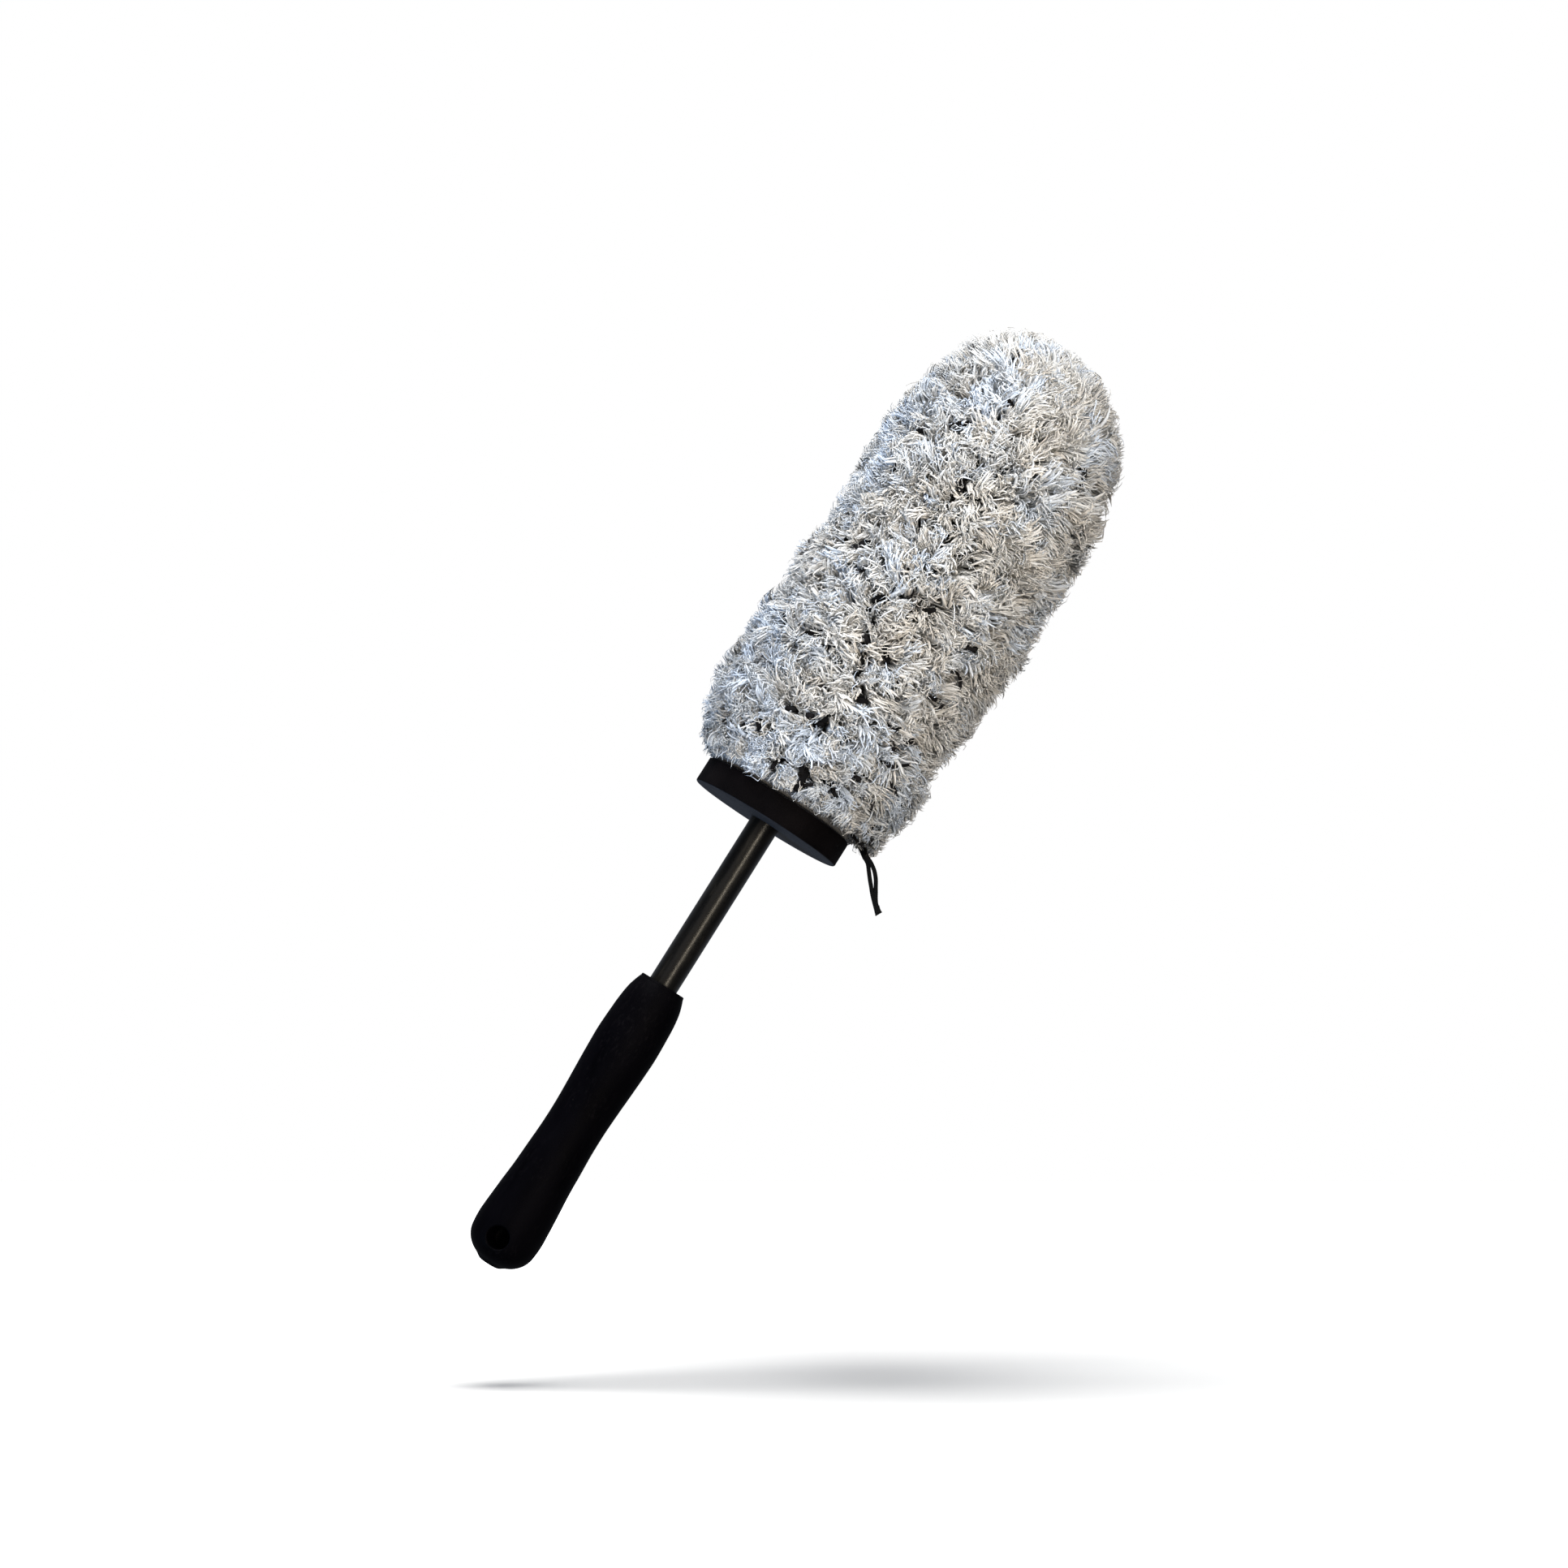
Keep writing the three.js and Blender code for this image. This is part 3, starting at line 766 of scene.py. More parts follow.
def build_guard():
    uneven = soft_noise(5, most_waves=9)

    def wobble(r, z, a):
        """Shallow dents that deepen from r = 28 to the rim."""
        if r < 12:
            return r, z
        edge = max(0.0, (r - 28) / (GUARD_R - 28))

        def dent(depth, shift=0.0):
            return depth * edge * (0.5 + 0.5 * uneven(a + shift, z))

        new_r = r - dent(0.10)
        if z > GUARD_Z1 - 1.5:
            return new_r, z - dent(0.10, shift=1.3)
        if z < GUARD_Z0 + 1.5:
            return new_r, z + dent(0.08, shift=2.1)
        return new_r, z

    bore = 6.6
    corners = [(bore, GUARD_Z0), (GUARD_R, GUARD_Z0), (GUARD_R, GUARD_Z1), (bore, GUARD_Z1)]
    profile = subdivide(fillets(corners, [0.35, 0.75, 0.85, 0.35], steps=6), step=2.2)
    return revolve(
        "guard_disc_cut_foam", profile, segments=192, closed=True, sharp=60, wobble=wobble
    )


piece(build_guard(), GUARD, "guard", "guard_foam", "guard_disc")


# ------------------------------------------------------------------ core
FLANGE_R = 23.5


def core_curve(offset, z0, steps=26):
    """The core's side from z0 and its dome to the axis, offset outwards: r, z."""
    r = CORE_R + offset
    rise = (NOSE_TOP - DOME_Z) + offset
    out = [(r, z0)]
    for i in range(steps + 1):
        a = (i / steps) * math.pi / 2
        out.append((0 if i == steps else r * math.cos(a), DOME_Z + rise * math.sin(a)))
    return out


def build_foam():
    uneven = soft_noise(11, most_waves=6)

    def wobble(r, z, a):
        return (r - 0.12 * (0.5 + 0.5 * uneven(a, z * 0.6)) if r > 20 else r), z

    bore, wide_bore, step_z = 6.8, 11.3, 243.5
    corners = [
        (wide_bore, FOAM_Z0), (CORE_R, FOAM_Z0), (CORE_R, FOAM_Z1),
        (bore, FOAM_Z1), (bore, step_z), (wide_bore, step_z),
    ]
    profile = subdivide(fillets(corners, [0.3, 1.2, 0.8, 0.3, 0, 0]), step=6.0)
    return revolve("core_foam_cylinder", profile, closed=True, wobble=wobble)


def build_nose():
    recess_r, recess_z = 7.5, 398.2
    base = [
        (0, recess_z), (recess_r, recess_z), (recess_r, NOSE_Z0), (CORE_R - 1.0, NOSE_Z0),
        (CORE_R - 0.3, NOSE_Z0 + 0.3), (CORE_R, NOSE_Z0 + 1.0),
    ]
    profile = subdivide(base + core_curve(0, NOSE_Z0)[1:], step=3.0, closed=False)
    return revolve("core_nose_foam", profile)


def build_lower_flange():
    """A disc with a collar that stands up round the tube."""
    bore, collar_r, disc_top = 6.65, 11, LOWER_Z0 + 3
    corners = [
        (bore, LOWER_Z0), (FLANGE_R, LOWER_Z0), (FLANGE_R, disc_top),
        (collar_r, disc_top), (collar_r, LOWER_Z1), (bore, LOWER_Z1),
    ]
    profile = fillets(corners, [0.3, 0.8, 0.3, 0, 0.5, 0.3])
    return revolve("core_lower_flange_moulded", profile, segments=144, closed=True, sharp=35)


def build_upper_flange():
    bore = 2.8
    corners = [(bore, UPPER_Z0), (FLANGE_R, UPPER_Z0), (FLANGE_R, UPPER_Z1), (bore, UPPER_Z1)]
    profile = fillets(corners, [0.3, 0.3, 0.8, 0.3])
    return revolve("core_upper_flange_moulded", profile, closed=True, sharp=35)


piece(build_foam(), FOAM, "handle", "core_foam", "core_foam")
piece(build_nose(), FOAM, "handle", "core_foam", "core_nose")
piece(build_lower_flange(), PLASTIC, "handle", "hard_plastic", "core_lower_flange")
piece(build_upper_flange(), PLASTIC, "handle", "hard_plastic", "core_upper_flange")
for name in ("grip_insert", "tube_end_plug"):
    paint(frame["nodes"][name], PLASTIC)
for name in ("grip_pin", "flange_grub_screw", "tube_top_insert", "top_washer", "top_screw"):
    paint(frame["nodes"][name], STEEL)


# ------------------------------------------------------------------ sleeve cloth
CLOTH_OFFSETS = (1.15, 2.35)  # inner and outer face of the cloth, out from the core
CLOTH_GAP = math.radians(0.35)  # from the XZ plane to the edge of each half
TAPE_OFFSET, TAPE_HALF_WIDTH, TAPE_HALF_THICK = 0.6, 3.9, 0.22


def build_half_sleeve(name, first, last):
    inner, outer = (
        subdivide(core_curve(offset, CLOTH_Z0), step=5.0, closed=False)
        for offset in CLOTH_OFFSETS
    )
    # both ends lie on the axis: pull them a hair off it so that the wedge is one closed body
    profile = [(max(float(r), 0.35), float(z)) for r, z in outer + inner[::-1]]
    return revolve(name, profile, segments=72, closed=True, wedge=(first, last))


def build_tape():
    """A narrow strip that runs up one side, over the dome and down the other."""
    side = np.array(subdivide(core_curve(TAPE_OFFSET, TAPE_Z0), step=2.5, closed=False))
    flat = np.zeros(len(side))
    path = np.vstack([
        np.column_stack([side[:, 0], flat, side[:, 1]]),
        np.column_stack([-side[::-1, 0], flat, side[::-1, 1]])[1:],
    ])
    tangent = np.gradient(path, axis=0)
    tangent /= np.linalg.norm(tangent, axis=1)[:, None]
    normals = np.cross((0, 1, 0), tangent)
    across = np.linspace(-TAPE_HALF_WIDTH, TAPE_HALF_WIDTH, 9)
    round_r = CORE_R + TAPE_OFFSET
    verts = []
    for point, normal in zip(path, normals):
        for layer in (-TAPE_HALF_THICK, TAPE_HALF_THICK):
            for y in across:
                # the strip follows the round of the sleeve across its width
                drop = round_r - math.sqrt(round_r**2 - y * y)
                moved = point + normal * (layer - drop)
                verts.append((moved[0], y, moved[2]))
    m = len(across)
    faces = []
    for i in range(len(path) - 1):
        a, b = i * 2 * m, (i + 1) * 2 * m
        for k in range(m - 1):
            faces.append((a + m + k, a + m + k + 1, b + m + k + 1, b + m + k))
            faces.append((a + k, b + k, b + k + 1, a + k + 1))
        faces.append((a, a + m, b + m, b))
        faces.append((a + m - 1, b + m - 1, b + 2 * m - 1, a + 2 * m - 1))
    end = (len(path) - 1) * 2 * m
    first_cap, last_cap = (
        tuple(range(e, e + m)) + tuple(range(e + 2 * m - 1, e + m - 1, -1)) for e in (0, end)
    )
    faces += [first_cap, last_cap[::-1]]
    ob = outward(link("seam_tape_strip", verts, faces), sharp=60)
    along = np.repeat(run_length(path) * MM, 2 * m)
    values = np.column_stack([np.tile(across * MM, 2 * len(path)), along])
    set_uv(ob.data, values[corner_verts(ob.data)])
    return ob


for name, first, last, replaced in (
    ("sleeve_backing_front", -math.pi + CLOTH_GAP, -CLOTH_GAP, "backing_front"),
    ("sleeve_backing_back", CLOTH_GAP, math.pi - CLOTH_GAP, "backing_back"),
):
    half = build_half_sleeve(name, first, last)
    piece(half, BACKING, "cover", "backing_cloth", replaced)
piece(build_tape(), HEM, "cover", "backing_cloth", "seam_tape")


# ------------------------------------------------------------------ hem with its cord
# section of the hem, a channel that opens inwards: r, z, corner radius
HEM_SECTION = [
    (25.25, 228.2, 1.2), (33.1, 228.2, 1.6), (33.1, 233.7, 1.2), (25.25, 233.7, 0.5),
    (25.25, 231.6, 0.2), (26.5, 231.6, 0.2), (26.5, 232.6, 0.6), (31.9, 232.6, 0.8),
    (31.9, 229.3, 0.8), (26.5, 229.3, 0.6), (26.5, 230.2, 0.2), (25.25, 230.2, 0.2),
]
HEM_CORD_RING_R, HEM_CORD_R = 29.3, 0.95


def build_hem():
    phases = np.random.default_rng(31).uniform(0, 2 * math.pi, 6)

    def pleat(r, z, a):
        """Ruffles round the ring, deepest on its outside."""
        wave = (
            0.5 * math.sin(46 * a + 1.2 * math.sin(5 * a + phases[0]))
            + 0.3 * math.sin(31 * a + phases[1])
            + 0.2 * math.sin(13 * a + phases[2])
        )
        depth = 0.28 if r > 26.6 else 0.10
        sense = 1 if r > 28 else -0.3
        lift = 0.18 * wave if z > 230 else 0.06 * (wave - 1)
        return r - depth * (0.6 + 0.6 * wave) * sense, z + lift

    corners = [(r, z) for r, z, _ in HEM_SECTION]
    profile = subdivide(fillets(corners, [bend for _, _, bend in HEM_SECTION]), step=1.6)
    return revolve(
        "hem_channel_gathered", profile, segments=460, closed=True, sharp=60, wobble=pleat
    )


def build_hem_cord(steps=260, sides=14):
    """A ring of cord, a little wavy and ridged."""
    verts = []
    for i in range(steps):
        a = 2 * math.pi * i / steps
        ring_r = HEM_CORD_RING_R + 0.12 * math.sin(9 * a)
        for k in range(sides):
            b = 2 * math.pi * k / sides
            r = HEM_CORD_R * (1 + 0.05 * math.sin(120 * a + 4 * b))
            out = ring_r + r * math.cos(b)
            z = HEM_CORD_Z + r * 0.9 * math.sin(b)
            verts.append((out * math.cos(a), out * math.sin(a), z))
    ob = link("drawcord_in_hem", verts, tube_faces(steps, sides, wrap=True))
    along = [i / steps * 2 * math.pi * HEM_CORD_RING_R * MM for i in range(steps + 1)]
    set_uv(ob.data, tube_uvs(along, sides))
    return outward(ob)


piece(build_hem(), HEM_PAINTED_SHADE, "cover", "hem_cloth", "hem_tape")
piece(build_hem_cord(), CORD, "cover", "cord", "drawcord_ring")

# ------------------------------------------------------------------ drawcord outside the hem
# centrelines of the four cord strands, from the hem outwards: x, y, z
NECK_UPPER = [
    (31.2, 0.3, 231.0), (34.6, 0.2, 231.3), (37.8, 0.0, 230.9), (40.4, -0.2, 229.7),
    (42.6, -0.4, 228.1), (44.4, -0.5, 226.9),
]
NECK_LOWER = [
    (31.0, 1.3, 230.3), (34.4, 1.3, 230.5), (37.4, 1.2, 230.0), (39.8, 0.9, 228.8),
    (41.9, 0.6, 227.4), (43.4, 0.4, 226.3),
]
LOOP_RIGHT = [
    (44.2, -0.5, 226.95), (46.2, -0.45, 226.2), (48.2, -0.35, 225.0), (50.0, -0.2, 223.6),
    (52.2, 0.0, 221.1), (54.0, 0.1, 218.2), (55.2, 0.1, 216.3), (56.4, 0.05, 214.3),
    (57.9, 0.0, 212.3), (59.5, -0.1, 210.9), (60.9, -0.1, 209.9),
]
LOOP_LEFT = [
    (43.2, 0.4, 226.4), (44.6, 0.4, 225.8), (46.0, 0.4, 224.8), (47.9, 0.35, 222.5),
    (50.1, 0.25, 219.8), (52.2, 0.15, 217.4), (54.2, 0.1, 215.1), (56.2, 0.15, 213.1),
    (58.0, 0.15, 211.4), (60.2, 0.1, 209.3),
]


def squared_round(half_y, half_across, sides=16, power=2.6):
    """A superellipse section. A higher power makes it squarer."""
    t = 2 * math.pi * np.arange(sides) / sides
    c, s = np.cos(t), np.sin(t)
    return np.column_stack([
        half_y * np.sign(c) * np.abs(c) ** (2 / power),
        half_across * np.sign(s) * np.abs(s) ** (2 / power),
    ])


def build_cord_strand(name, stations, per, half_across, replaced=None):
    curve = catmull([(x, z) for x, _, z in stations], per)
    depth = [y for _, y, _ in stations]
    y = np.interp(np.linspace(0, 1, len(curve)), np.linspace(0, 1, len(depth)), depth)
    path = np.column_stack([curve[:, 0], y, curve[:, 1]])
    ripple, ripple_pitch = 0.035, 0.9
    scale = 1 + ripple * np.sin(2 * math.pi * run_length(path) / ripple_pitch)
    ob = sweep(name, path, squared_round(0.55, half_across), scale)
    paint(ob, CORD)
    if replaced:
        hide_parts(replaced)
    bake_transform(ob)


def build_cord_end():
    """The strands' ends laid together, pressed flat and cut at a slant."""
    axis = np.array([0.7187, 0, -0.6953])
    side = np.array([0.6953, 0, 0.7187])
    base = np.array([58.3, 0.0, 211.7])
    length, steps = 3.7, 30
    path = [base + axis * length * i / steps for i in range(steps + 1)]
    scale = [
        0.94 + 0.05 * math.sin(2 * math.pi * i / 5) + 0.10 * (i / steps) ** 3
        for i in range(steps + 1)
    ]
    section = squared_round(0.85, 1.38, sides=24, power=3.0)
    ob = sweep("drawcord_end_pressed", path, section, scale)
    co = positions(ob.data)
    offset = co / MM - base
    t = np.clip(offset @ axis / length, 0, 1)
    across = offset @ side
    slant = (-0.34 * across * t**2)[:, None] * axis
    flare = (0.30 * np.maximum(across, 0) * t**3)[:, None] * side
    co += (slant + flare) * MM
    ob.data.vertices.foreach_set("co", co.ravel())
    ob.data.update()
    return ob


def build_tab(rows=22, columns=12):
    """The free end of the hem tape: a thin curled strip that hangs beside the cord."""
    verts, faces = [], []
    for layer in (-0.28, 0.28):
        for i in range(rows + 1):
            t = i / rows
            for k in range(columns + 1):
                s = k / columns
                x = 40.6 + 5.6 * s * (1 - 0.25 * t) + 2.2 * t - 0.5 * t * math.cos(3.0 * s)
                sag = 1.5 * (1 - (2 * s - 1) ** 2) * t
                z = 234.8 - 5.4 * t - sag + 0.2 * math.sin(7 * s + 2)
                twist = 0.9 * math.sin(2.4 * t + 0.6) * (0.4 + s) * 0.6
                y = 1.3 + layer + twist - 0.5 * math.sin(3.1 * s)
                verts.append((x, y, z))
    w = columns + 1
    up = (rows + 1) * w  # from a point of the first layer to its twin in the second
    for i in range(rows):
        for k in range(columns):
            a = i * w + k
            faces.append((a, a + 1, a + w + 1, a + w))
            faces.append((up + a, up + a + w, up + a + w + 1, up + a + 1))
    for i in range(rows):
        a, b = i * w, (i + 1) * w
        faces.append((a, b, up + b, up + a))
        a, b = a + columns, b + columns
        faces.append((b, a, up + a, up + b))
    for k in range(columns):
        faces.append((k + 1, k, up + k, up + k + 1))
        a = rows * w + k
        faces.append((a, a + 1, up + a + 1, up + a))
    ob = outward(link("hem_tape_free_end", verts, faces), sharp=60)
    set_uv(ob.data, positions(ob.data)[:, [0, 2]][corner_verts(ob.data)])
    return ob


build_cord_strand("drawcord_neck_upper", NECK_UPPER, 10, 0.95, "drawcord_neck")
build_cord_strand("drawcord_neck_lower", NECK_LOWER, 10, 0.95)
build_cord_strand("drawcord_loop_right", LOOP_RIGHT, 9, 0.92, "drawcord_loop")
build_cord_strand("drawcord_loop_left", LOOP_LEFT, 9, 0.92)
piece(build_cord_end(), CORD, "cord_loop", "cord", "drawcord_end")
piece(build_tab(), HEM, "cover", "hem_cloth", "hem_tape_end")

# ------------------------------------------------------------------ pile
# outside of the pile: height, sideways shift of the middle, half width
ENVELOPE = np.array([
    (228.7, 4.8, 41.6), (233.9, 2.4, 45.0), (238.9, 0.7, 46.0), (243.9, 1.4, 48.8),
    (248.9, 0.9, 51.0), (260.0, 0.7, 52.3), (265.0, -1.0, 51.3), (273.0, 0.0, 49.8),
    (286.1, 1.5, 52.3), (296.2, 1.2, 51.9), (306.4, 3.6, 50.9), (317.5, 3.1, 53.2),
    (327.6, 3.8, 53.6), (337.8, 5.5, 52.0), (349.0, 4.1, 51.6), (359.2, 5.0, 52.6),
    (369.4, 3.6, 52.6), (380.7, 4.6, 52.2), (390.9, 4.3, 53.4), (401.2, 2.9, 50.6),
    (412.5, 3.1, 48.0), (422.8, 4.1, 45.6), (433.1, 3.4, 40.4), (438.3, 2.4, 38.7),
    (444.5, 1.7, 32.1), (449.7, 2.4, 26.6), (454.8, -2.0, 14.2), (456.9, -4.0, 0.0),
])
ENV_Z, ENV_SHIFT, ENV_HALF = ENVELOPE.T
PILE_Z0 = 228.7
TUFTS = 2900
MAX_TRIANGLES = 185000  # of one mesh of pile
# places of the rings along a strand, 0 at the root and 1 at the tip
FILL_RINGS = np.array([0.0, 0.30, 0.48, 0.60, 0.70, 0.79, 0.87, 0.94, 1.0])
CURL_RINGS = np.concatenate([[0.0, 0.30, 0.44], np.linspace(0.52, 1.0, 15)])
FLAT_RINGS = np.linspace(0, 1, 13)
OVER_GUARD_Z = 228.2  # strands stay above this over the guard
LOWEST_Z = 224.9  # and above this outside its edge
ABOUT_TURN = 6.28  # range of the random phases of the fringe
# the kinds of strand in each tuft, see tuft_strands. The cores and body strands have a lower level than the
# curls: painted shade under the top layer
STRANDS = {
    # thick soft cores
    "wisp": dict(
        per=2, rings=FILL_RINGS, loose=0.055, thick=(0.75, 1.10), near_tip=0.55,
        shared=1.1, own=(0.1, 0.4), turns=(0.5, 1.2), start=0.38, rise=1.0, level=3.9,
        level_spread=0.3, side_spread=0.26, bend_spread=0.14, short=0.05, length=0.95,
    ),
    # thick soft strands that give a tuft its body
    "yarn": dict(
        per=10, rings=FILL_RINGS, loose=0.048, thick=(0.28, 0.54),
        near_tip=0.78, shared=1.1, own=(0.2, 0.75), turns=(0.7, 1.8), start=0.38, rise=1.0,
        level=4.1, level_spread=0.4, side_spread=0.28, bend_spread=0.17, short=0.06, length=1.0,
    ),
    # thin crinkled strands that lie over them
    "curl": dict(
        per=6, rings=CURL_RINGS, loose=0.075, thick=(0.15, 0.21),
        near_tip=0.8, shared=1.0, own=(0.6, 1.6), turns=(1.7, 3.6), start=0.48, rise=0.6,
        level=5.6, level_spread=0.9, side_spread=0.75, bend_spread=0.34, short=0.04, length=0.99,
    ),
}
SIDES = {"wisp": 5, "yarn": 3, "curl": 3, "fringe": 3}
# black yarn that lies across the pile near its surface: from, to, half width
SHOWN_YARN = [
    ((3.5, -45.5, 240.7), (3.4, -41.7, 230.9), 1.25), ((-0.2, -45.7, 240.9), (3.3, -44.4, 237.2), 1.0),
    ((-10.4, -42.3, 235.8), (-9.5, -41.5, 233.0), 0.9), ((-30.5, -35.6, 244.8), (-29.0, -35.1, 241.5), 0.8),
    ((-26.3, -40.6, 247.6), (-22.3, -41.2, 244.0), 1.0), ((-18.8, -46.5, 257.5), (-14.6, -48.2, 259.0), 1.0),
    ((4.9, -48.6, 275.5), (9.7, -48.2, 277.3), 1.1), ((-9.5, -49.6, 259.1), (-6.6, -50.1, 260.5), 1.1),
    ((-3.5, -50.4, 258.6), (-1.2, -50.7, 259.6), 0.9), ((25.3, -41.5, 274.2), (27.5, -40.4, 275.0), 1.0),
    ((33.4, -35.1, 273.4), (35.6, -33.5, 275.4), 1.1), ((31.5, -39.8, 260.6), (34.4, -36.9, 262.0), 1.1),
    ((36.5, -35.3, 255.6), (42.5, -27.0, 252.5), 1.0), ((17.4, -41.9, 239.7), (19.1, -40.6, 237.4), 0.8),
    ((34.3, -34.9, 245.6), (35.4, -31.0, 240.8), 1.0), ((41.2, -19.8, 239.6), (37.6, -24.2, 230.4), 0.95),
    ((43.6, -13.5, 239.8), (44.6, -9.0, 235.5), 0.9), ((42.5, -14.8, 233.4), (44.0, -10.8, 232.2), 0.75),
    ((39.6, -20.0, 228.6), (41.6, -15.6, 229.4), 0.75), ((22.4, -44.6, 249.1), (24.7, -43.3, 248.7), 0.8),
    ((31.2, -40.6, 293.2), (34.8, -37.7, 294.5), 0.9), ((41.7, -24.5, 273.1), (40.6, -26.6, 270.2), 0.8),
    ((37, -31, 411), (38, -34, 401), 1.2), ((38, -35, 308), (41, -31, 303), 0.9),
    ((-9, -49, 317), (-12, -48, 313), 1.3), ((4, -49, 299), (8, -48, 295), 1.1),
    ((-35, -33, 371), (-34, -34, 366), 1.0), ((-16, -27, 441), (-16, -32, 434), 1.0),
    ((38, -38, 321), (33, -41, 319), 0.8), ((-4, -49, 298), (-7, -48, 300), 1.0),
]


def draws(rng, count):
    """Two ways to draw count values: spread round zero, and even between limits."""
    return (
        lambda spread: rng.normal(0, spread, count),
        lambda low, high: rng.uniform(low, high, count),
    )


def cylinder(r, angle, z):
    return np.stack([r * np.cos(angle), r * np.sin(angle), z], -1)


def field(seed, terms, scale):
    """A smooth random function of a point, about -1 to 1, features about 25 mm / scale."""
    rng = np.random.default_rng(seed)
    waves = rng.normal(size=(terms, 3)) * 0.055 * scale
    phases = rng.uniform(0, 2 * math.pi, terms)
    return lambda x: np.sin(x @ waves.T + phases).sum(1) / math.sqrt(terms / 2) * 0.6


def root_of(z, angle):
    """Root on the backing of yarn that shows at height z, and the outward direction there."""
    c, s = np.cos(angle), np.sin(angle)
    root_r = CLOTH_R - 0.25
    first = CLOTH_Z0 + 1.2
    side_z = first + (z - PILE_Z0) * (DOME_Z - CLOTH_Z0 - 1.2) / (DOME_Z - PILE_Z0)
    half = np.interp(z, ENV_Z, ENV_HALF)
    tilt = np.where(z > DOME_Z, np.arctan2(z - DOME_Z, half), 0.0)
    rise = CLOTH_TOP - DOME_Z - 0.25
    root_z = np.where(z > DOME_Z, DOME_Z + rise * np.sin(tilt), side_z)
    root = np.stack([root_r * np.cos(tilt) * c, root_r * np.cos(tilt) * s, root_z], -1)
    return root, np.stack([np.cos(tilt) * c, np.cos(tilt) * s, np.sin(tilt)], -1)


def lay_out(count, seed, jitter):
    """Evenly spread targets on the pile's outside: target, root, outward direction, rng."""
    rng = np.random.default_rng(seed)
    slant = np.hypot(np.diff(ENV_Z), np.diff(ENV_HALF))
    areas = slant * (ENV_HALF[:-1] + ENV_HALF[1:]) / 2
    total = np.concatenate([[0], np.cumsum(areas)])
    place = np.arange(count) + 0.5 + rng.uniform(-jitter, jitter, count) * 6
    place = np.clip(place / count * total[-1], 0, total[-1] * 0.99999)
    i = np.searchsorted(total, place, side="right") - 1
    t = (place - total[i]) / areas[i]
    z, half, shift = (
        row[i] + t * (row[i + 1] - row[i]) for row in (ENV_Z, ENV_HALF, ENV_SHIFT)
    )
    golden = math.pi * (3 - math.sqrt(5))
    angle = np.arange(count) * golden + rng.uniform(-jitter, jitter, count) * 0.09
    x = shift * np.abs(np.cos(angle)) + half * np.cos(angle)
    target = np.column_stack([x, half * np.sin(angle), z])
    root, normal = root_of(z, angle)
    return target, root, normal, rng


def centrelines(root, direction, side, reach, lean, bend, power, steps=26):
    """Curves that leave the root along direction and bend towards side: (strand, step, xyz)."""
    t = (np.arange(steps) + 0.5) / steps
    angle = lean[:, None] + bend[:, None] * t[None, :] ** power[:, None]
    ahead, aside = np.cos(angle) / steps, np.sin(angle) / steps
    size = (reach / np.maximum(ahead.sum(1), 0.35))[:, None]
    start = np.zeros((len(root), 1))
    ahead = np.concatenate([start, np.cumsum(ahead, 1)], 1) * size
    aside = np.concatenate([start, np.cumsum(aside, 1)], 1) * size
    return (
        root[:, None, :]
        + ahead[:, :, None] * direction[:, None, :]
        + aside[:, :, None] * side[:, None, :]
    )


def at(curves, places):
    """Points of each curve at places from 0 to 1."""
    last = curves.shape[1] - 1
    x = places * last
    i = np.minimum(x.astype(int), last - 1)
    f = (x - i)[None, :, None]
    return curves[:, i, :] * (1 - f) + curves[:, i + 1, :] * f


def bezier(start, control, end, places):
    t = places[None, :, None]
    return (1 - t) ** 2 * start[:, None] + 2 * t * (1 - t) * control[:, None] + t * t * end[:, None]


def tube_template(rings, sides):
    """Corners of one tapering tube: vertex numbers, (across, along) pairs, face sizes."""
    corners, uvs, sizes = [], [], []
    along = 0.02 + 0.96 * rings
    count = len(rings)
    for i in range(count - 2):
        for j in range(sides):
            near, far, k = i * sides, (i + 1) * sides, (j + 1) % sides
            corners += [near + j, near + k, far + k, far + j]
            u0, u1 = j / sides, (j + 1) / sides
            uvs += [(u0, along[i]), (u1, along[i]), (u1, along[i + 1]), (u0, along[i + 1])]
            sizes.append(4)
    last = (count - 2) * sides
    for j in range(sides):
        corners += [last + j, last + (j + 1) % sides, last + sides]
        uvs += [(j / sides, along[-2]), ((j + 1) / sides, along[-2]), ((j + 0.5) / sides, along[-1])]
        sizes.append(3)
    corners += list(range(sides - 1, -1, -1))
    uvs += [(j / sides, along[0]) for j in range(sides)]
    sizes.append(sides)
    return np.array(corners), np.array(uvs), np.array(sizes)


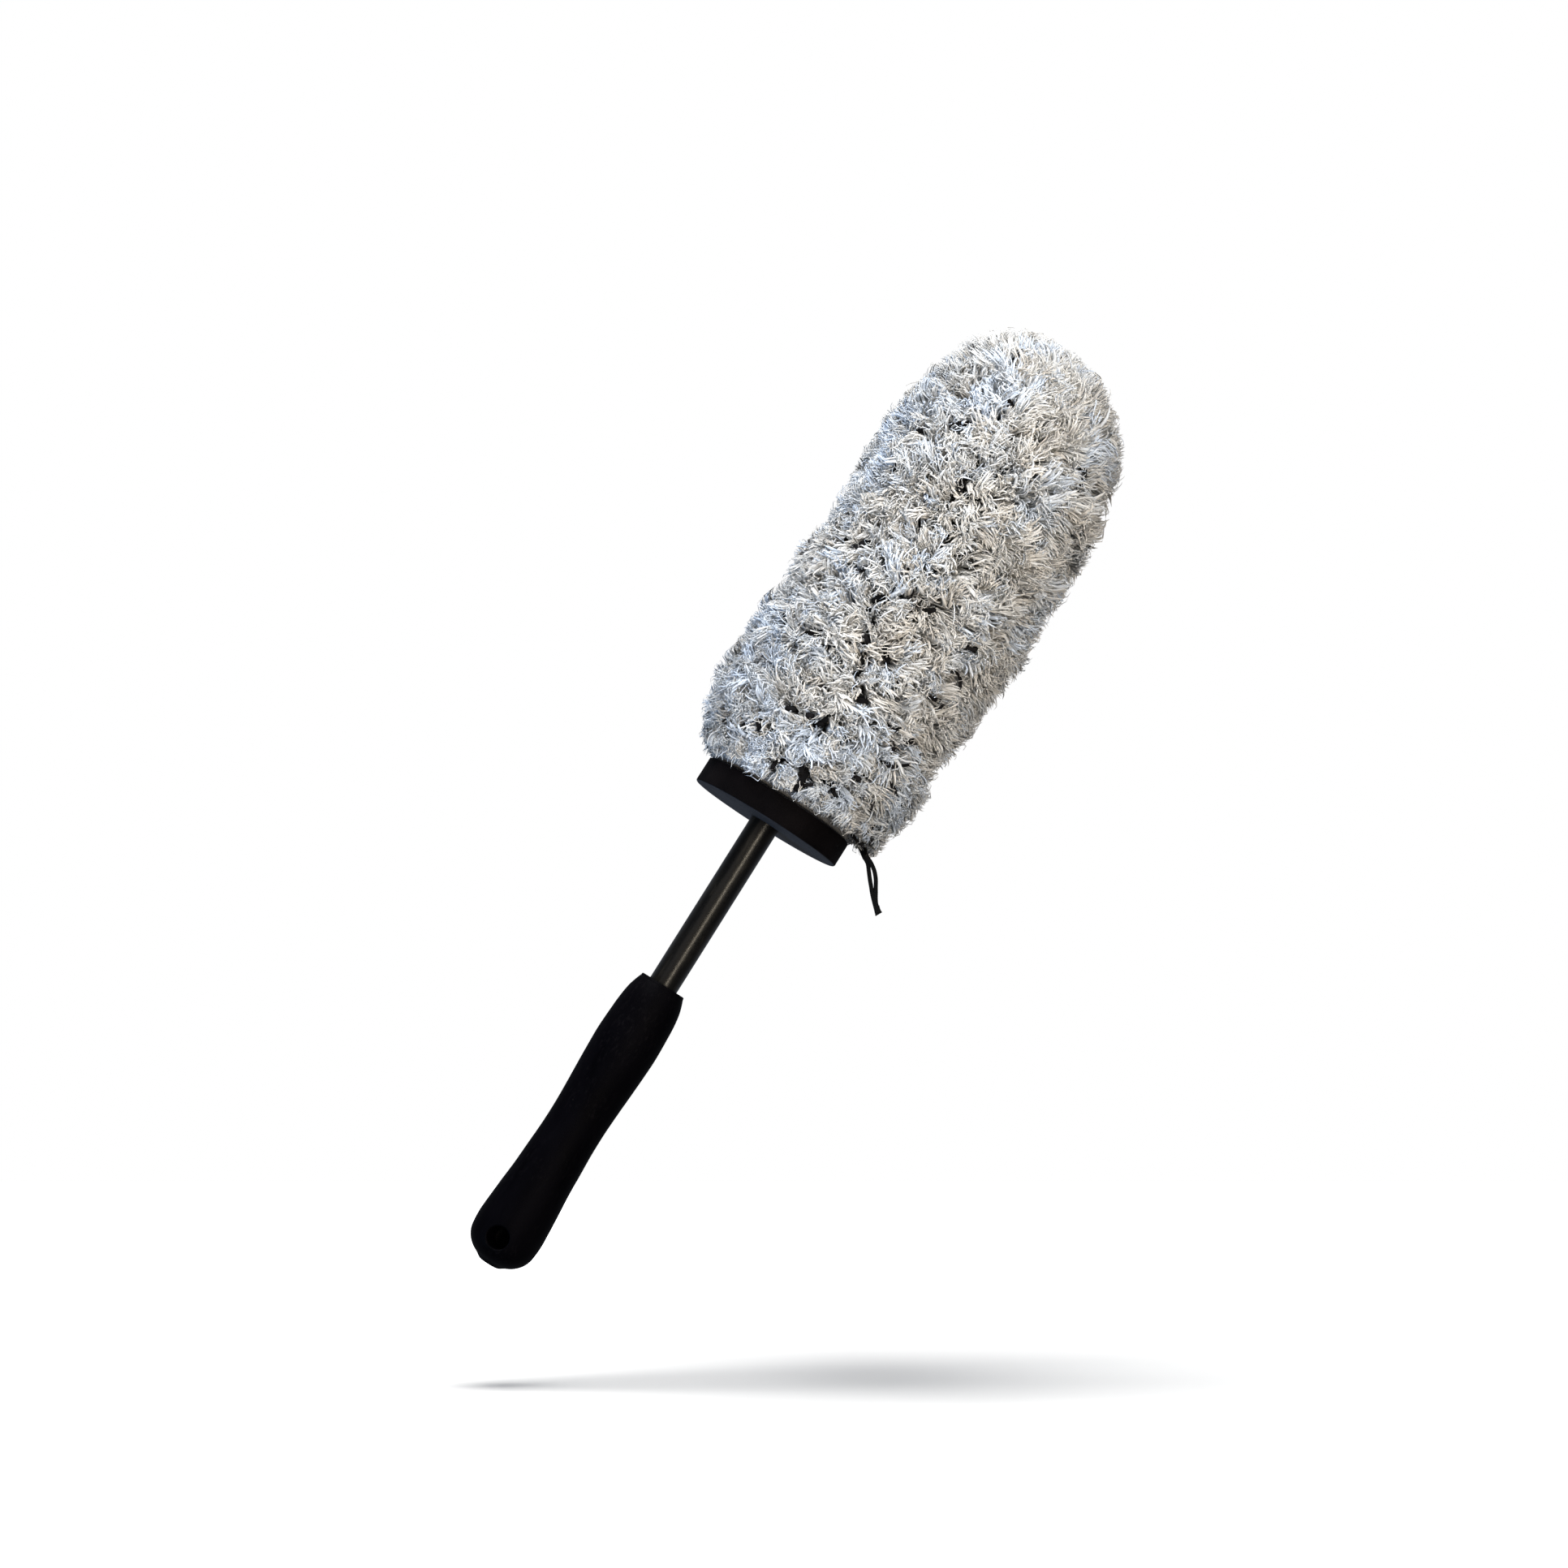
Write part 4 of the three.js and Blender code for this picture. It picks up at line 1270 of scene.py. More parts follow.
def build_tubes(name, points, radii, columns, rings, flat=1.0, sides=3, ref=None):
    """Closed tubes along points (strand, ring, xyz), in one mesh, that end on a point."""
    strands, count, _ = points.shape
    tangent = unit(np.gradient(points, axis=1))
    if ref is None:
        ref = unit(np.cross(tangent[:, 0], tangent[:, -1] + 1e-3))
    ref = ref[:, None, :] * np.ones((1, count, 1))
    wide = unit(ref - (ref * tangent).sum(-1, keepdims=True) * tangent)
    thin = np.cross(wide, tangent) * -1
    thin = np.cross(tangent, wide) * -1
    thin = np.cross(wide, tangent)
    del thin
    # the section's second axis, at right angles to wide and to the strand
    deep = np.cross(tangent, wide)
    turn = 2 * math.pi * np.arange(sides) / sides
    size = radii[:, :-1, None, None]
    body = (
        points[:, :-1, None, :]
        + size * np.cos(turn)[None, None, :, None] * wide[:, :-1, None, :]
        + size * flat * np.sin(turn)[None, None, :, None] * deep[:, :-1, None, :]
    )
    per = (count - 1) * sides + 1
    verts = np.empty((strands, per, 3))
    verts[:, :-1] = body.reshape(strands, -1, 3)
    verts[:, -1] = points[:, -1]
    corners, uvs, sizes = tube_template(rings, sides)
    loops = (corners[None, :] + (np.arange(strands) * per)[:, None]).ravel()
    sizes = np.tile(sizes, strands)
    starts = np.concatenate([[0], np.cumsum(sizes)[:-1]])
    uv = np.empty((strands, len(uvs), 2), np.float32)
    uv[:, :, 0] = (columns[:, None] + 0.2 + 0.6 * uvs[None, :, 0]) / (HUES * LEVELS)
    uv[:, :, 1] = uvs[None, :, 1]
    mesh = bpy.data.meshes.new(name)
    mesh.vertices.add(strands * per)
    mesh.vertices.foreach_set("co", (verts * MM).astype(np.float32).ravel())
    mesh.loops.add(len(loops))
    mesh.loops.foreach_set("vertex_index", loops.astype(np.int32))
    mesh.polygons.add(len(sizes))
    mesh.polygons.foreach_set("loop_start", starts.astype(np.int32))
    mesh.polygons.foreach_set("use_smooth", np.ones(len(sizes), bool))
    set_uv(mesh, uv, "OFBake")
    mesh.update(calc_edges=True)
    mesh.validate()
    ob = bpy.data.objects.new(name, mesh)
    bpy.context.scene.collection.objects.link(ob)
    return ob


def column_of(hue, level):
    hue_column = np.clip(np.floor(hue * HUES), 0, HUES - 1)
    return hue_column * LEVELS + np.clip(np.floor(level), 0, LEVELS - 1)


def tangents(direction, angle):
    """A unit vector across direction, at angle from the way to the tip of the brush."""
    up = np.tile(np.array([0.0, 0.0, 1.0]), (len(direction), 1))
    up[np.abs(direction[:, 2]) > 0.95] = (1.0, 0, 0)
    first = unit(up - (up * direction).sum(1, keepdims=True) * direction)
    second = np.cross(direction, first)
    return np.cos(angle)[:, None] * first + np.sin(angle)[:, None] * second


def clear_of_guard(points):
    """True for curves that stay above the guard, or hang outside its edge."""
    r, z = np.hypot(points[..., 0], points[..., 1]), points[..., 2]
    in_guard = (z < OVER_GUARD_Z) & (r < GUARD_R + 0.9)
    return ~(in_guard | (z < LOWEST_Z)).any(axis=1)


# a map of the pile's outside, angle round and z up, on which black yarn is marked
MAP_R, MAP_Z0, MAP_STEP = 50.0, 222.0, 0.5
MAP_W, MAP_H = int(2 * math.pi * MAP_R / MAP_STEP), 480


def map_cells(points):
    angle = np.arctan2(points[..., 1], points[..., 0]) % (2 * math.pi)
    column = (angle * MAP_R / MAP_STEP).astype(int) % MAP_W
    return np.clip(((points[..., 2] - MAP_Z0) / MAP_STEP).astype(int), 0, MAP_H - 1), column


def mark(grid, points, reach):
    cells = int(reach / MAP_STEP)
    row, column = map_cells(points.reshape(-1, 3))
    for dz in range(-cells, cells + 1):
        for dx in range(-cells, cells + 1):
            if dz * dz + dx * dx <= cells * cells:
                grid[np.clip(row + dz, 0, MAP_H - 1), (column + dx) % MAP_W] = True


def spread_black_yarn():
    """Black yarn strewn over the back and sides, thinned out at the front."""
    target, root, _, rng = lay_out(150, seed=19, jitter=0.5)
    keep = (target[:, 1] > -14) | (rng.uniform(0, 1, len(target)) < 0.22)
    target, root = target[keep], root[keep]
    vary, between = draws(rng, len(root))
    direction = unit(target - root)
    reach = np.linalg.norm(target - root, axis=1) * between(0.80, 0.92)
    side = tangents(direction, between(0, 2 * math.pi))
    lean, bend, power = vary(0.1), between(0.9, 1.6), between(1.8, 2.8)
    lines = at(centrelines(root, direction, side, reach, lean, bend, power), FLAT_RINGS)
    ok = clear_of_guard(lines)
    lines = lines[ok]
    width = rng.uniform(0.8, 1.25, len(lines))
    return lines, width, unit(np.cross(direction, side))[ok], rng


def shown_black_yarn():
    """The yarn of SHOWN_YARN: a lead-in from the root, then the part that shows."""
    start, end = (np.array([row[i] for row in SHOWN_YARN], float) for i in (0, 1))
    root, normal = root_of(start[:, 2], np.arctan2(start[:, 1], start[:, 0]))
    for point in (start, end):
        point[:, :2] *= 0.945
    lead = unit(end - start)
    lead_in = bezier(root, start - lead * 1.5, start, np.linspace(0, 1, 8))
    t = np.linspace(0.16, 1, 6)
    tail = start[:, None, :] + (end - start)[:, None, :] * t[None, :, None]
    tail += normal[:, None, :] * (0.9 * np.sin(t * math.pi))[None, :, None]
    lines = np.concatenate([lead_in[:, :7], tail], 1)
    return lines, tail, np.array([row[2] for row in SHOWN_YARN]), unit(np.cross(normal, lead))


def black_fuzz(lines, width, rng, per=26):
    """Short fibres that stand off the black yarn, so that it looks like felt."""
    owner = np.repeat(np.arange(len(lines)), per)
    vary, between = draws(rng, len(owner))
    places = between(0.55, 0.99).reshape(-1, per)
    base = np.concatenate([at(lines[i : i + 1], row)[0] for i, row in enumerate(places)])
    tangent = unit(lines[owner, -1] - lines[owner, -4])
    out = unit(base * np.array([1, 1, 0.0]))
    side = unit(np.cross(out, tangent))
    sign = rng.choice([-1.0, 1.0], len(owner))
    start = base + side * (sign * width[owner] * 0.7)[:, None]
    end = start + side * (sign * between(0.5, 1.3))[:, None]
    end = end + tangent * rng.normal(0.3, 0.8, len(owner))[:, None]
    end = end + out * between(0.0, 0.7)[:, None]
    middle = (start + end) / 2 + out * between(0.0, 0.5)[:, None]
    rings = np.linspace(0, 1, 4)
    fibres = bezier(start, middle, end, rings)
    ok = clear_of_guard(fibres)
    radii = between(0.07, 0.13)[:, None] * np.array([1, 1, 0.8, 0.3])[None, :]
    columns = column_of(rng.uniform(0, 1, ok.sum()), rng.integers(0, 5, ok.sum()))
    ob = build_tubes("pile_black_yarn_fuzz", fibres[ok], radii[ok], columns, rings)
    piece(ob, BLACK_YARN, "cover", "pile")


def black_yarn():
    """Flat soft strips of black yarn. Returns the map of where they show."""
    spread, spread_width, spread_ref, rng = spread_black_yarn()
    shown, tail, shown_width, shown_ref = shown_black_yarn()
    grid = np.zeros((MAP_H, MAP_W), bool)
    mark(grid, tail, reach=1.3)
    mark(grid, at(spread, np.linspace(0.8, 1, 6)), reach=1.4)
    lines = np.concatenate([spread, shown])
    width = np.concatenate([spread_width, shown_width])
    ref = np.concatenate([spread_ref, shown_ref])
    # the width wanders, and the end is blunt
    taper = np.array([0.7, 0.85, 0.95, 1, 1, 1, 1, 1, 1, 1, 0.97, 0.86, 0.0])
    radii = width[:, None] * taper[None, :] * (1 + rng.normal(0, 0.07, (len(width), 13)))
    lines[:, -2] = lines[:, -1] - (lines[:, -1] - lines[:, -2]) * 0.22
    hue = rng.uniform(0, 1, len(lines))
    columns = column_of(hue, rng.integers(0, LEVELS, len(lines)))
    front = lines[:, -1, 1] < 0
    for name, part in (("pile_black_yarn_front", front), ("pile_black_yarn_back", ~front)):
        ob = build_tubes(
            name, lines[part], radii[part], columns[part], FLAT_RINGS,
            flat=0.42, sides=8, ref=ref[part],
        )
        piece(ob, BLACK_YARN, "cover", "pile")
    black_fuzz(lines, width, rng)
    return grid


def curl(points, rings, size, turns, phase, axis_a, axis_b, start, rise=1.25):
    """A wave across each strand that grows from start to the tip."""
    s = np.clip((rings[None, :] - start) / (1 - start), 0, 1)
    angle = 2 * math.pi * turns[:, None] * s + phase[:, None]
    grown = size[:, None] * s**rise
    a = np.cos(angle) - np.cos(phase)[:, None] * (1 - s)
    b = np.sin(angle) - np.sin(phase)[:, None] * (1 - s)
    return (
        points
        + (grown * a)[:, :, None] * axis_a[:, None, :]
        + (grown * b)[:, :, None] * axis_b[:, None, :]
    )


def plan_tufts():
    """What the strands of each tuft share, one value per tuft."""
    target, root, normal, rng = lay_out(TUFTS, seed=7, jitter=0.42)
    vary, between = draws(rng, TUFTS)
    x, z = target[:, 0], target[:, 2]
    tone, tall, shade = field(72, 14, 2.2), field(73, 12, 2.0), field(75, 12, 3.0)
    bend = between(0.25, 1.35)
    heading = between(-math.pi, math.pi)
    low = z < 243
    heading[low] = rng.uniform(-2.1, 2.1, low.sum())
    height = np.clip(1 + 0.035 * tall(target) + vary(0.06), 0.80, 1.06)
    # painted cool light: the tint leans to blue towards -X and towards the hem, the sides where the cool
    # light falls
    hue = 0.50 + 0.24 * tone(target) + vary(0.25) - 0.0018 * x
    hue = np.clip(hue + 0.26 * np.clip((290 - z) / 48, 0, 1), 0.0, 0.999)
    light = np.clip(vary(0.9) + 0.9 * shade(target), -2.2, 2.2)
    # the yarn is more crinkled towards the hem
    crinkle = np.clip((292 - z) / 45, 0, 1) + 0.25 * between(-1, 1)
    wave = between(0.25, 0.8)
    phase = between(0, 2 * math.pi)
    return SimpleNamespace(
        root=root, normal=normal, z=z, bend=bend, heading=heading, hue=hue, light=light,
        reach=np.linalg.norm(target - root, axis=1), height=height, crinkle=crinkle,
        direction=unit(unit(target - root) * 0.8 + normal * 0.2),
        wave=wave, phase=phase, turns=between(0.7, 1.5),
    ), rng


def inside_envelope(points):
    """Pull in what a curl carries out of the pile's outline."""
    x, z = points[..., 0], points[..., 2]
    r = np.hypot(x, points[..., 1])
    shift = np.interp(z, ENV_Z, ENV_SHIFT) * x / np.maximum(r, 1)
    limit = np.interp(z, ENV_Z, ENV_HALF) + shift + 1.8
    limit = np.where(z > DOME_Z, limit + 2.0, limit)
    f = np.minimum(1, limit / np.maximum(r, 1e-6))
    return points * np.stack([f, f, np.ones_like(f)], -1)


def tuft_strands(
    tufts, rng, grid, per, rings, loose, thick, near_tip, shared, own, turns, start, rise,
    level, level_spread, side_spread, bend_spread, short, length,
):
    """One kind of strand for all tufts: points, radii, columns, across, roots, heights.

    per: strands a tuft. loose: how far they part at the root. thick: limits of the radius.
    near_tip: taper there. shared: size of the tuft's wave. own, turns, start, rise: the
    strand's own curl. short: how much some fall short of length.
    """
    owner = np.repeat(np.arange(TUFTS), per)
    t = SimpleNamespace(**{key: value[owner] for key, value in vars(tufts).items()})
    count = len(owner)
    vary, between = draws(rng, count)
    first = tangents(tufts.normal, np.zeros(TUFTS))
    second = np.cross(tufts.normal, first)
    off = rng.normal(0, 0.40, (count, 2))
    root = t.root + off[:, :1] * first[owner] + off[:, 1:] * second[owner]
    direction = unit(t.direction + rng.normal(0, loose, (count, 3)))
    side = tangents(direction, t.heading + vary(1) * side_spread * (1 + 0.7 * t.crinkle))
    reach = t.reach * t.height * length * (1 - np.abs(vary(short)))
    bend = np.clip(t.bend + vary(bend_spread), 0.1, 1.95)
    lean, power = vary(0.06), between(2.6, 4.2)
    points = at(centrelines(root, direction, side, reach, lean, bend, power), rings)
    across = unit(np.cross(direction, side))
    middle = unit(0.55 * direction + 0.83 * side)
    # a wave the whole tuft shares, then the strand's own curl
    wave_turns, wave_phase = t.turns + vary(0.06), t.phase + vary(0.25)
    points = curl(
        points, rings, t.wave * shared, wave_turns, wave_phase, across, middle, start=0.2
    )
    size = between(*own) * (1 + 0.75 * t.crinkle)
    own_turns = between(*turns) * (1 + 0.2 * t.crinkle)
    phase = between(0, 2 * math.pi)
    points = curl(points, rings, size, own_turns, phase, across, middle, start, rise)
    taper = np.interp(rings, [0, 0.3, 0.75, 0.92, 1.0], [0.7, 0.9, 1.0, near_tip, 0.42])
    radii = between(*thick)[:, None] * taper[None, :]
    hue = np.clip(t.hue + vary(0.06), 0, 0.999)
    # painted shade: darker towards the hem; painted highlight: brighter where the tint is blue
    level_and_painted_light = level - 2.1 * np.clip((292 - t.z) / 48, 0, 1) + t.light * 1.15
    level_and_painted_light = level_and_painted_light + 2.0 * np.clip(t.hue - 0.6, 0, 1) + vary(level_spread)
    points = inside_envelope(points)
    # most strands leave the black yarn bare
    hit = grid[map_cells(points[:, len(rings) // 2 :])].any(1)
    ok = clear_of_guard(points)
    ok &= ~(hit & (between(0, 1) < np.where(t.z < 262, 0.985, 0.90)))
    columns = column_of(hue, np.clip(level_and_painted_light, 0, LEVELS - 1))
    return [part[ok] for part in (points, radii, columns, across, t.root, t.z)]


# rows of locks over the hem: radius of the tips, locks in the row, lowest and highest tip
FRINGE_ROWS = [
    (33.9, 62, 228.2, 229.3), (35.6, 56, 228.2, 230.0),
    (38.4, 50, 228.3, 231.0), (41.2, 46, 228.7, 232.5),
]
HEM_STRAND_Z = 229.0  # sorting height of the fringe


def fringe(rng, grid):
    """Curled locks that fall over the hem on to the guard. Same parts as tuft_strands."""
    locks = []
    for n, (row_r, row_count, low, high) in enumerate(FRINGE_ROWS):
        vary, between = draws(rng, row_count)
        angle = (np.arange(row_count) + 0.37 * n + between(-0.36, 0.36)) / row_count * 2 * math.pi
        shift = 2.6 * np.cos(angle) * (1.0 if row_r > 36 else 0.3)
        tip_r = row_r + vary(0.9) + shift
        # on the cord's side the pile spills lower
        spill = np.clip(np.cos(angle - 0.1), 0, 1) ** 3 * (row_r > 38)
        locks.append(np.column_stack([tip_r, angle, between(low, high) - 1.4 * spill]))
    # locks in front of the place where the cord comes out
    _, between = draws(rng, 16)
    cord_locks = [between(36.6, 42.5), between(-0.30, -0.02), between(226.4, 228.8)]
    locks.append(np.column_stack(cord_locks))
    locks = np.vstack(locks)
    per = 18
    lock_r, angle, tip_z = np.repeat(locks, per, axis=0).T
    count = len(angle)
    vary, between = draws(rng, count)
    vary_lock, between_lock = (
        lambda *limits, draw=draw: np.repeat(draw(*limits), per) for draw in draws(rng, len(locks))
    )
    angle = angle + vary(0.020)
    lean = vary_lock(0.12)
    root_z = 236.6 + between_lock(-0.6, 2.6)
    curly = between(0, 1) < 0.56
    tip_r = lock_r + vary(0.7) + curly * vary(1.1)
    start = cylinder(np.full(count, CLOTH_R - 0.2), angle, root_z + vary(0.4))
    bulge = np.where(lock_r < 36.2, 0.6, 2.0)
    middle = cylinder(
        tip_r + bulge + vary(0.8), angle + lean * 0.4 + vary(0.02), root_z + bulge + vary(0.9)
    )
    end = cylinder(
        np.maximum(tip_r, 33.6),
        angle + lean + vary(0.025) + curly * vary(0.05),
        tip_z + np.abs(vary(0.5)) + curly * between(0, 1.8),
    )
    points = bezier(start, middle, end, CURL_RINGS)
    side = unit(cylinder(np.ones(count), angle + math.pi / 2, np.zeros(count)))
    out = unit(cylinder(np.ones(count), angle, np.zeros(count)))
    # a wave the lock shares, then the strand's own curl
    phase = between_lock(0, ABOUT_TURN)
    size, turns = between_lock(0.3, 1.1), between_lock(0.6, 1.3)
    rising = out * 0.6 + np.array([0, 0, 0.5])
    points = curl(points, CURL_RINGS, size, turns, phase + vary(0.2), side, rising, start=0.25)
    size = np.where(curly, between(0.35, 1.05), between(0.1, 0.6))
    turns = np.where(curly, between(1.4, 3.4), between(0.6, 1.6))
    phase = between(0, ABOUT_TURN)
    points = curl(points, CURL_RINGS, size, turns, phase, side, out, start=0.40, rise=0.7)
    # lift what curls too low; only near the cord may a strand hang below the guard's top
    r = np.hypot(points[..., 0], points[..., 1])
    away_from_cord = (np.abs(angle + 0.16) > 0.3)[:, None]
    lowest = np.where((r < GUARD_R + 1.2) | away_from_cord, OVER_GUARD_Z, 225.6)
    points[..., 2] = np.maximum(points[..., 2], lowest)
    taper = np.interp(CURL_RINGS, [0, 0.3, 0.75, 0.9, 1.0], [0.7, 0.9, 1.0, 0.7, 0.3])
    thick = np.where(curly, between(0.145, 0.20), between(0.34, 0.54))
    # painted cool light: the fringe is tinted towards blue like the pile near the hem, most on its +X side
    hue = 0.66 + vary_lock(0.2) - 0.05 * np.cos(angle)
    hue = hue + 0.18 * np.clip(np.cos(angle), 0, 1) + vary(0.06)
    # painted shade: the thick strands under the curls are darker
    level = np.where(curly, 4.4, 2.6) + vary_lock(0.8) + vary(0.8)
    columns = column_of(np.clip(hue, 0, 0.999), np.clip(level, 0, LEVELS - 1))
    hit = grid[map_cells(points[:, 8:])].any(1)
    ok = clear_of_guard(points) & ~(hit & (between(0, 1) < 0.97))
    parts = (points, thick[:, None] * taper, columns, side, start, np.full(count, HEM_STRAND_Z))
    return [part[ok] for part in parts]


def rim_locks(rng):
    """Strands that hang over the guard's rim. Same parts as tuft_strands."""
    many = 16
    # groups: middle in degrees round from +X, spread in radians, strands
    groups = [(214, 0.16, many), (246, 0.03, many // 5), (190, 0.10, many // 3)]
    angle = np.concatenate([rng.normal(math.radians(a), spread, n) for a, spread, n in groups])
    count = len(angle)
    vary, between = draws(rng, count)
    tip_z = between(225.8, 228.2)
    start = cylinder(np.full(count, CLOTH_R - 0.2), angle, np.full(count, 237.0))
    middle = cylinder(41.0 + vary(1.2), angle, 238.0 + vary(1.2))
    end = cylinder(36.4 + between(0, 1.6), angle + vary(0.06), tip_z)
    points = bezier(start, middle, end, CURL_RINGS)
    # push the low part out past the guard's edge
    r, edge = np.hypot(points[..., 0], points[..., 1]), GUARD_R + 1.3
    push = np.where((points[..., 2] < 228.6) & (r < edge), edge / r, 1.0)
    points[..., :2] *= push[..., None]
    side = unit(cylinder(np.ones(count), angle + math.pi / 2, np.zeros(count)))
    out = unit(cylinder(np.ones(count), angle, np.zeros(count))) * 0.3
    size, turns, phase = between(0.5, 1.1), between(1.2, 2.6), between(0, ABOUT_TURN)
    points = curl(points, CURL_RINGS, size, turns, phase, side, out, start=0.3)
    taper = np.interp(CURL_RINGS, [0, 0.3, 0.8, 0.92, 1.0], [0.9, 1.0, 0.95, 0.75, 0.3])
    radii = between(0.16, 0.22)[:, None] * taper
    # painted cool light: tinted blue like the pile near the hem
    hue = np.clip(0.7 + vary(0.15), 0, 0.999)
    columns = column_of(hue, np.clip(4.5 + vary(1.5), 0, 7))
    ok = clear_of_guard(points)
    parts = (points, radii, columns, side, start, np.full(count, HEM_STRAND_Z))
    return [part[ok] for part in parts]


def build_pile(kind, parts):
    """Meshes for the front and back of the sleeve, in bands from hem to tip."""
    points, radii, columns, across, roots, heights = parts
    rings = STRANDS[kind]["rings"] if kind in STRANDS else CURL_RINGS
    sides = SIDES[kind]
    triangles = (len(rings) - 1) * 2 * sides - 2
    front = roots[:, 1] < 0
    for face, chosen in (("front", front), ("back", ~front)):
        index = np.nonzero(chosen)[0]
        index = index[np.argsort(heights[index], kind="stable")]
        bands = max(1, math.ceil(len(index) * triangles / MAX_TRIANGLES))
        for n, band in enumerate(np.array_split(index, bands)):
            ob = build_tubes(
                f"pile_{face}_{kind}_{n + 1:02d}", points[band], radii[band], columns[band],
                rings, sides=sides, ref=across[band],
            )
            piece(ob, PILE, "cover", "pile", "pile_" + face)


def grow():
    grid = black_yarn()
    tufts, rng = plan_tufts()
    made = {kind: tuft_strands(tufts, rng, grid, **values) for kind, values in STRANDS.items()}
    both = (fringe(rng, grid), rim_locks(rng))
    made["fringe"] = [np.concatenate(pair) for pair in zip(*both)]
    for kind, parts in made.items():
        build_pile(kind, parts)


grow()

# ------------------------------------------------------------------ camera
TILT = math.radians(5.1)
CAMERA_DISTANCE = 1136.0
VIEW = np.array([0, math.cos(TILT), math.sin(TILT)])
AIM = np.array([-2.093, 0, 234.629])
# the picture's right and up, from the shaft's direction in the picture and the X axis
SHAFT = np.array([0, -math.sin(TILT), math.cos(TILT)])
X_AXIS = np.array([1.0, 0, 0])
ROLL_SIN, ROLL_COS = 0.5324, 0.8465
RIGHT = ROLL_SIN * SHAFT + ROLL_COS * X_AXIS
UP = ROLL_COS * SHAFT - ROLL_SIN * X_AXIS


def stand(ob, right, up, back, position):
    """Link an object and place it by its three axes and its position in metres."""
    columns = np.column_stack([right, up, back, position])
    ob.matrix_world = Matrix([*columns.tolist(), [0, 0, 0, 1]])
    bpy.context.scene.collection.objects.link(ob)
    return ob


def build_camera():
    data = bpy.data.cameras.new("camera")
    data.lens = 61.65
    data.sensor_width = 36
    data.clip_start = 0.05
    data.clip_end = 50
    camera = bpy.data.objects.new("camera", data)
    stand(camera, RIGHT, UP, -VIEW, (AIM - CAMERA_DISTANCE * VIEW) * MM)
    bpy.context.scene.camera = camera


build_camera()


# ------------------------------------------------------------------ light
def area(name, position, target, size, power, colour, size_y=None):
    """An area light that faces target, its long side along the brush. All in metres."""
    data = bpy.data.lights.new(name, "AREA")
    data.energy = power
    data.color = colour
    data.shape = "RECTANGLE" if size_y else "SQUARE"
    data.size = size
    if size_y:
        data.size_y = size_y
    back = unit(np.array(position, float) - np.array(target, float))
    right = unit(np.cross((0, 0, 1.0), back))
    return stand(bpy.data.objects.new(name, data), right, np.cross(back, right), back, position)


def round_shaft(degrees, distance, z):
    """A point at a bearing round the shaft: 0 is the front, positive is to +X."""
    a = math.radians(degrees)
    return (distance * math.sin(a), -distance * math.cos(a), z)


HEAD, SHAFT_MIDDLE = (0, 0, 0.335), (0, 0, 0.19)
lights = [
    area("key", round_shaft(-38, 1.25, 1.25), HEAD, size=0.60, power=13.5, colour=(0.86, 0.93, 1.0)),
    area("fill", round_shaft(34, 1.35, 1.05), HEAD, size=0.95, power=7, colour=(1.0, 0.975, 0.95)),
    area(
        "sky_low", round_shaft(-52, 0.95, -0.75), (0, 0, 0.22),
        size=0.60, power=8, colour=(0.45, 0.68, 1.0),
    ),
    # a tall source whose reflection runs down the tube, and a dim one for its other side
    area(
        "strip_warm", round_shaft(15, 1.30, 0.29), SHAFT_MIDDLE,
        size=0.13, power=11.0, colour=(1.0, 0.88, 0.70), size_y=1.0,
    ),
    area(
        "strip_dim", round_shaft(-27, 1.25, 0.29), SHAFT_MIDDLE,
        size=0.85, power=1.7, colour=(1.0, 0.90, 0.80), size_y=1.0,
    ),
]
# a broad soft light for the pile alone, so that the black parts stay black
pile_soft = area(
    "pile_soft", round_shaft(-8, 1.45, 0.75), HEAD, size=1.9, power=29, colour=(0.98, 0.99, 1.0)
)
area(
    "overhead", AIM * MM + UP * 1.5 - VIEW * 0.05, AIM * MM,
    size=0.85, power=35, colour=(1.0, 0.99, 0.97),
)


def build_world():
    """White to the camera; a cool sky to all else, brighter behind the brush."""
    world = bpy.data.worlds.new("studio")
    bpy.context.scene.world = world
    world.use_nodes = True
    w = Nodes(world.node_tree)
    sky = world.node_tree.nodes["Background"]
    w.feed(sky.inputs["Color"], (0.84, 0.90, 1.0))
    direction = w.axes(w.add("ShaderNodeTexCoord").outputs["Generated"])
    depth = w.calc("ADD", w.calc("MULTIPLY", direction["Y"], 0.5), 0.5)
    w.feed(sky.inputs["Strength"], w.ramp(depth, (0.0, 0.09), (0.45, 0.11), (0.75, 0.36)))
    white = w.add("ShaderNodeBackground", {"Color": (1, 1, 1), "Strength": 1.0})
    seen = w.add("ShaderNodeLightPath").outputs["Is Camera Ray"]
    inputs = {"Fac": seen, 1: sky.outputs[0], 2: white.outputs[0]}
    mixed = w.add("ShaderNodeMixShader", inputs)
    w.feed(world.node_tree.nodes["World Output"].inputs["Surface"], mixed.outputs[0])


build_world()

# ------------------------------------------------------------------ floor
FLOOR_DROP = 252.5  # below the aim, down the picture
FLOOR_NEAR, FLOOR_FAR = 900, 2600.0  # reach towards the camera; reach away and to each side
FLOOR_FALL = math.radians(6.6)  # it falls away from the camera, so it is almost edge on
FLOOR_CENTRE = AIM - UP * FLOOR_DROP


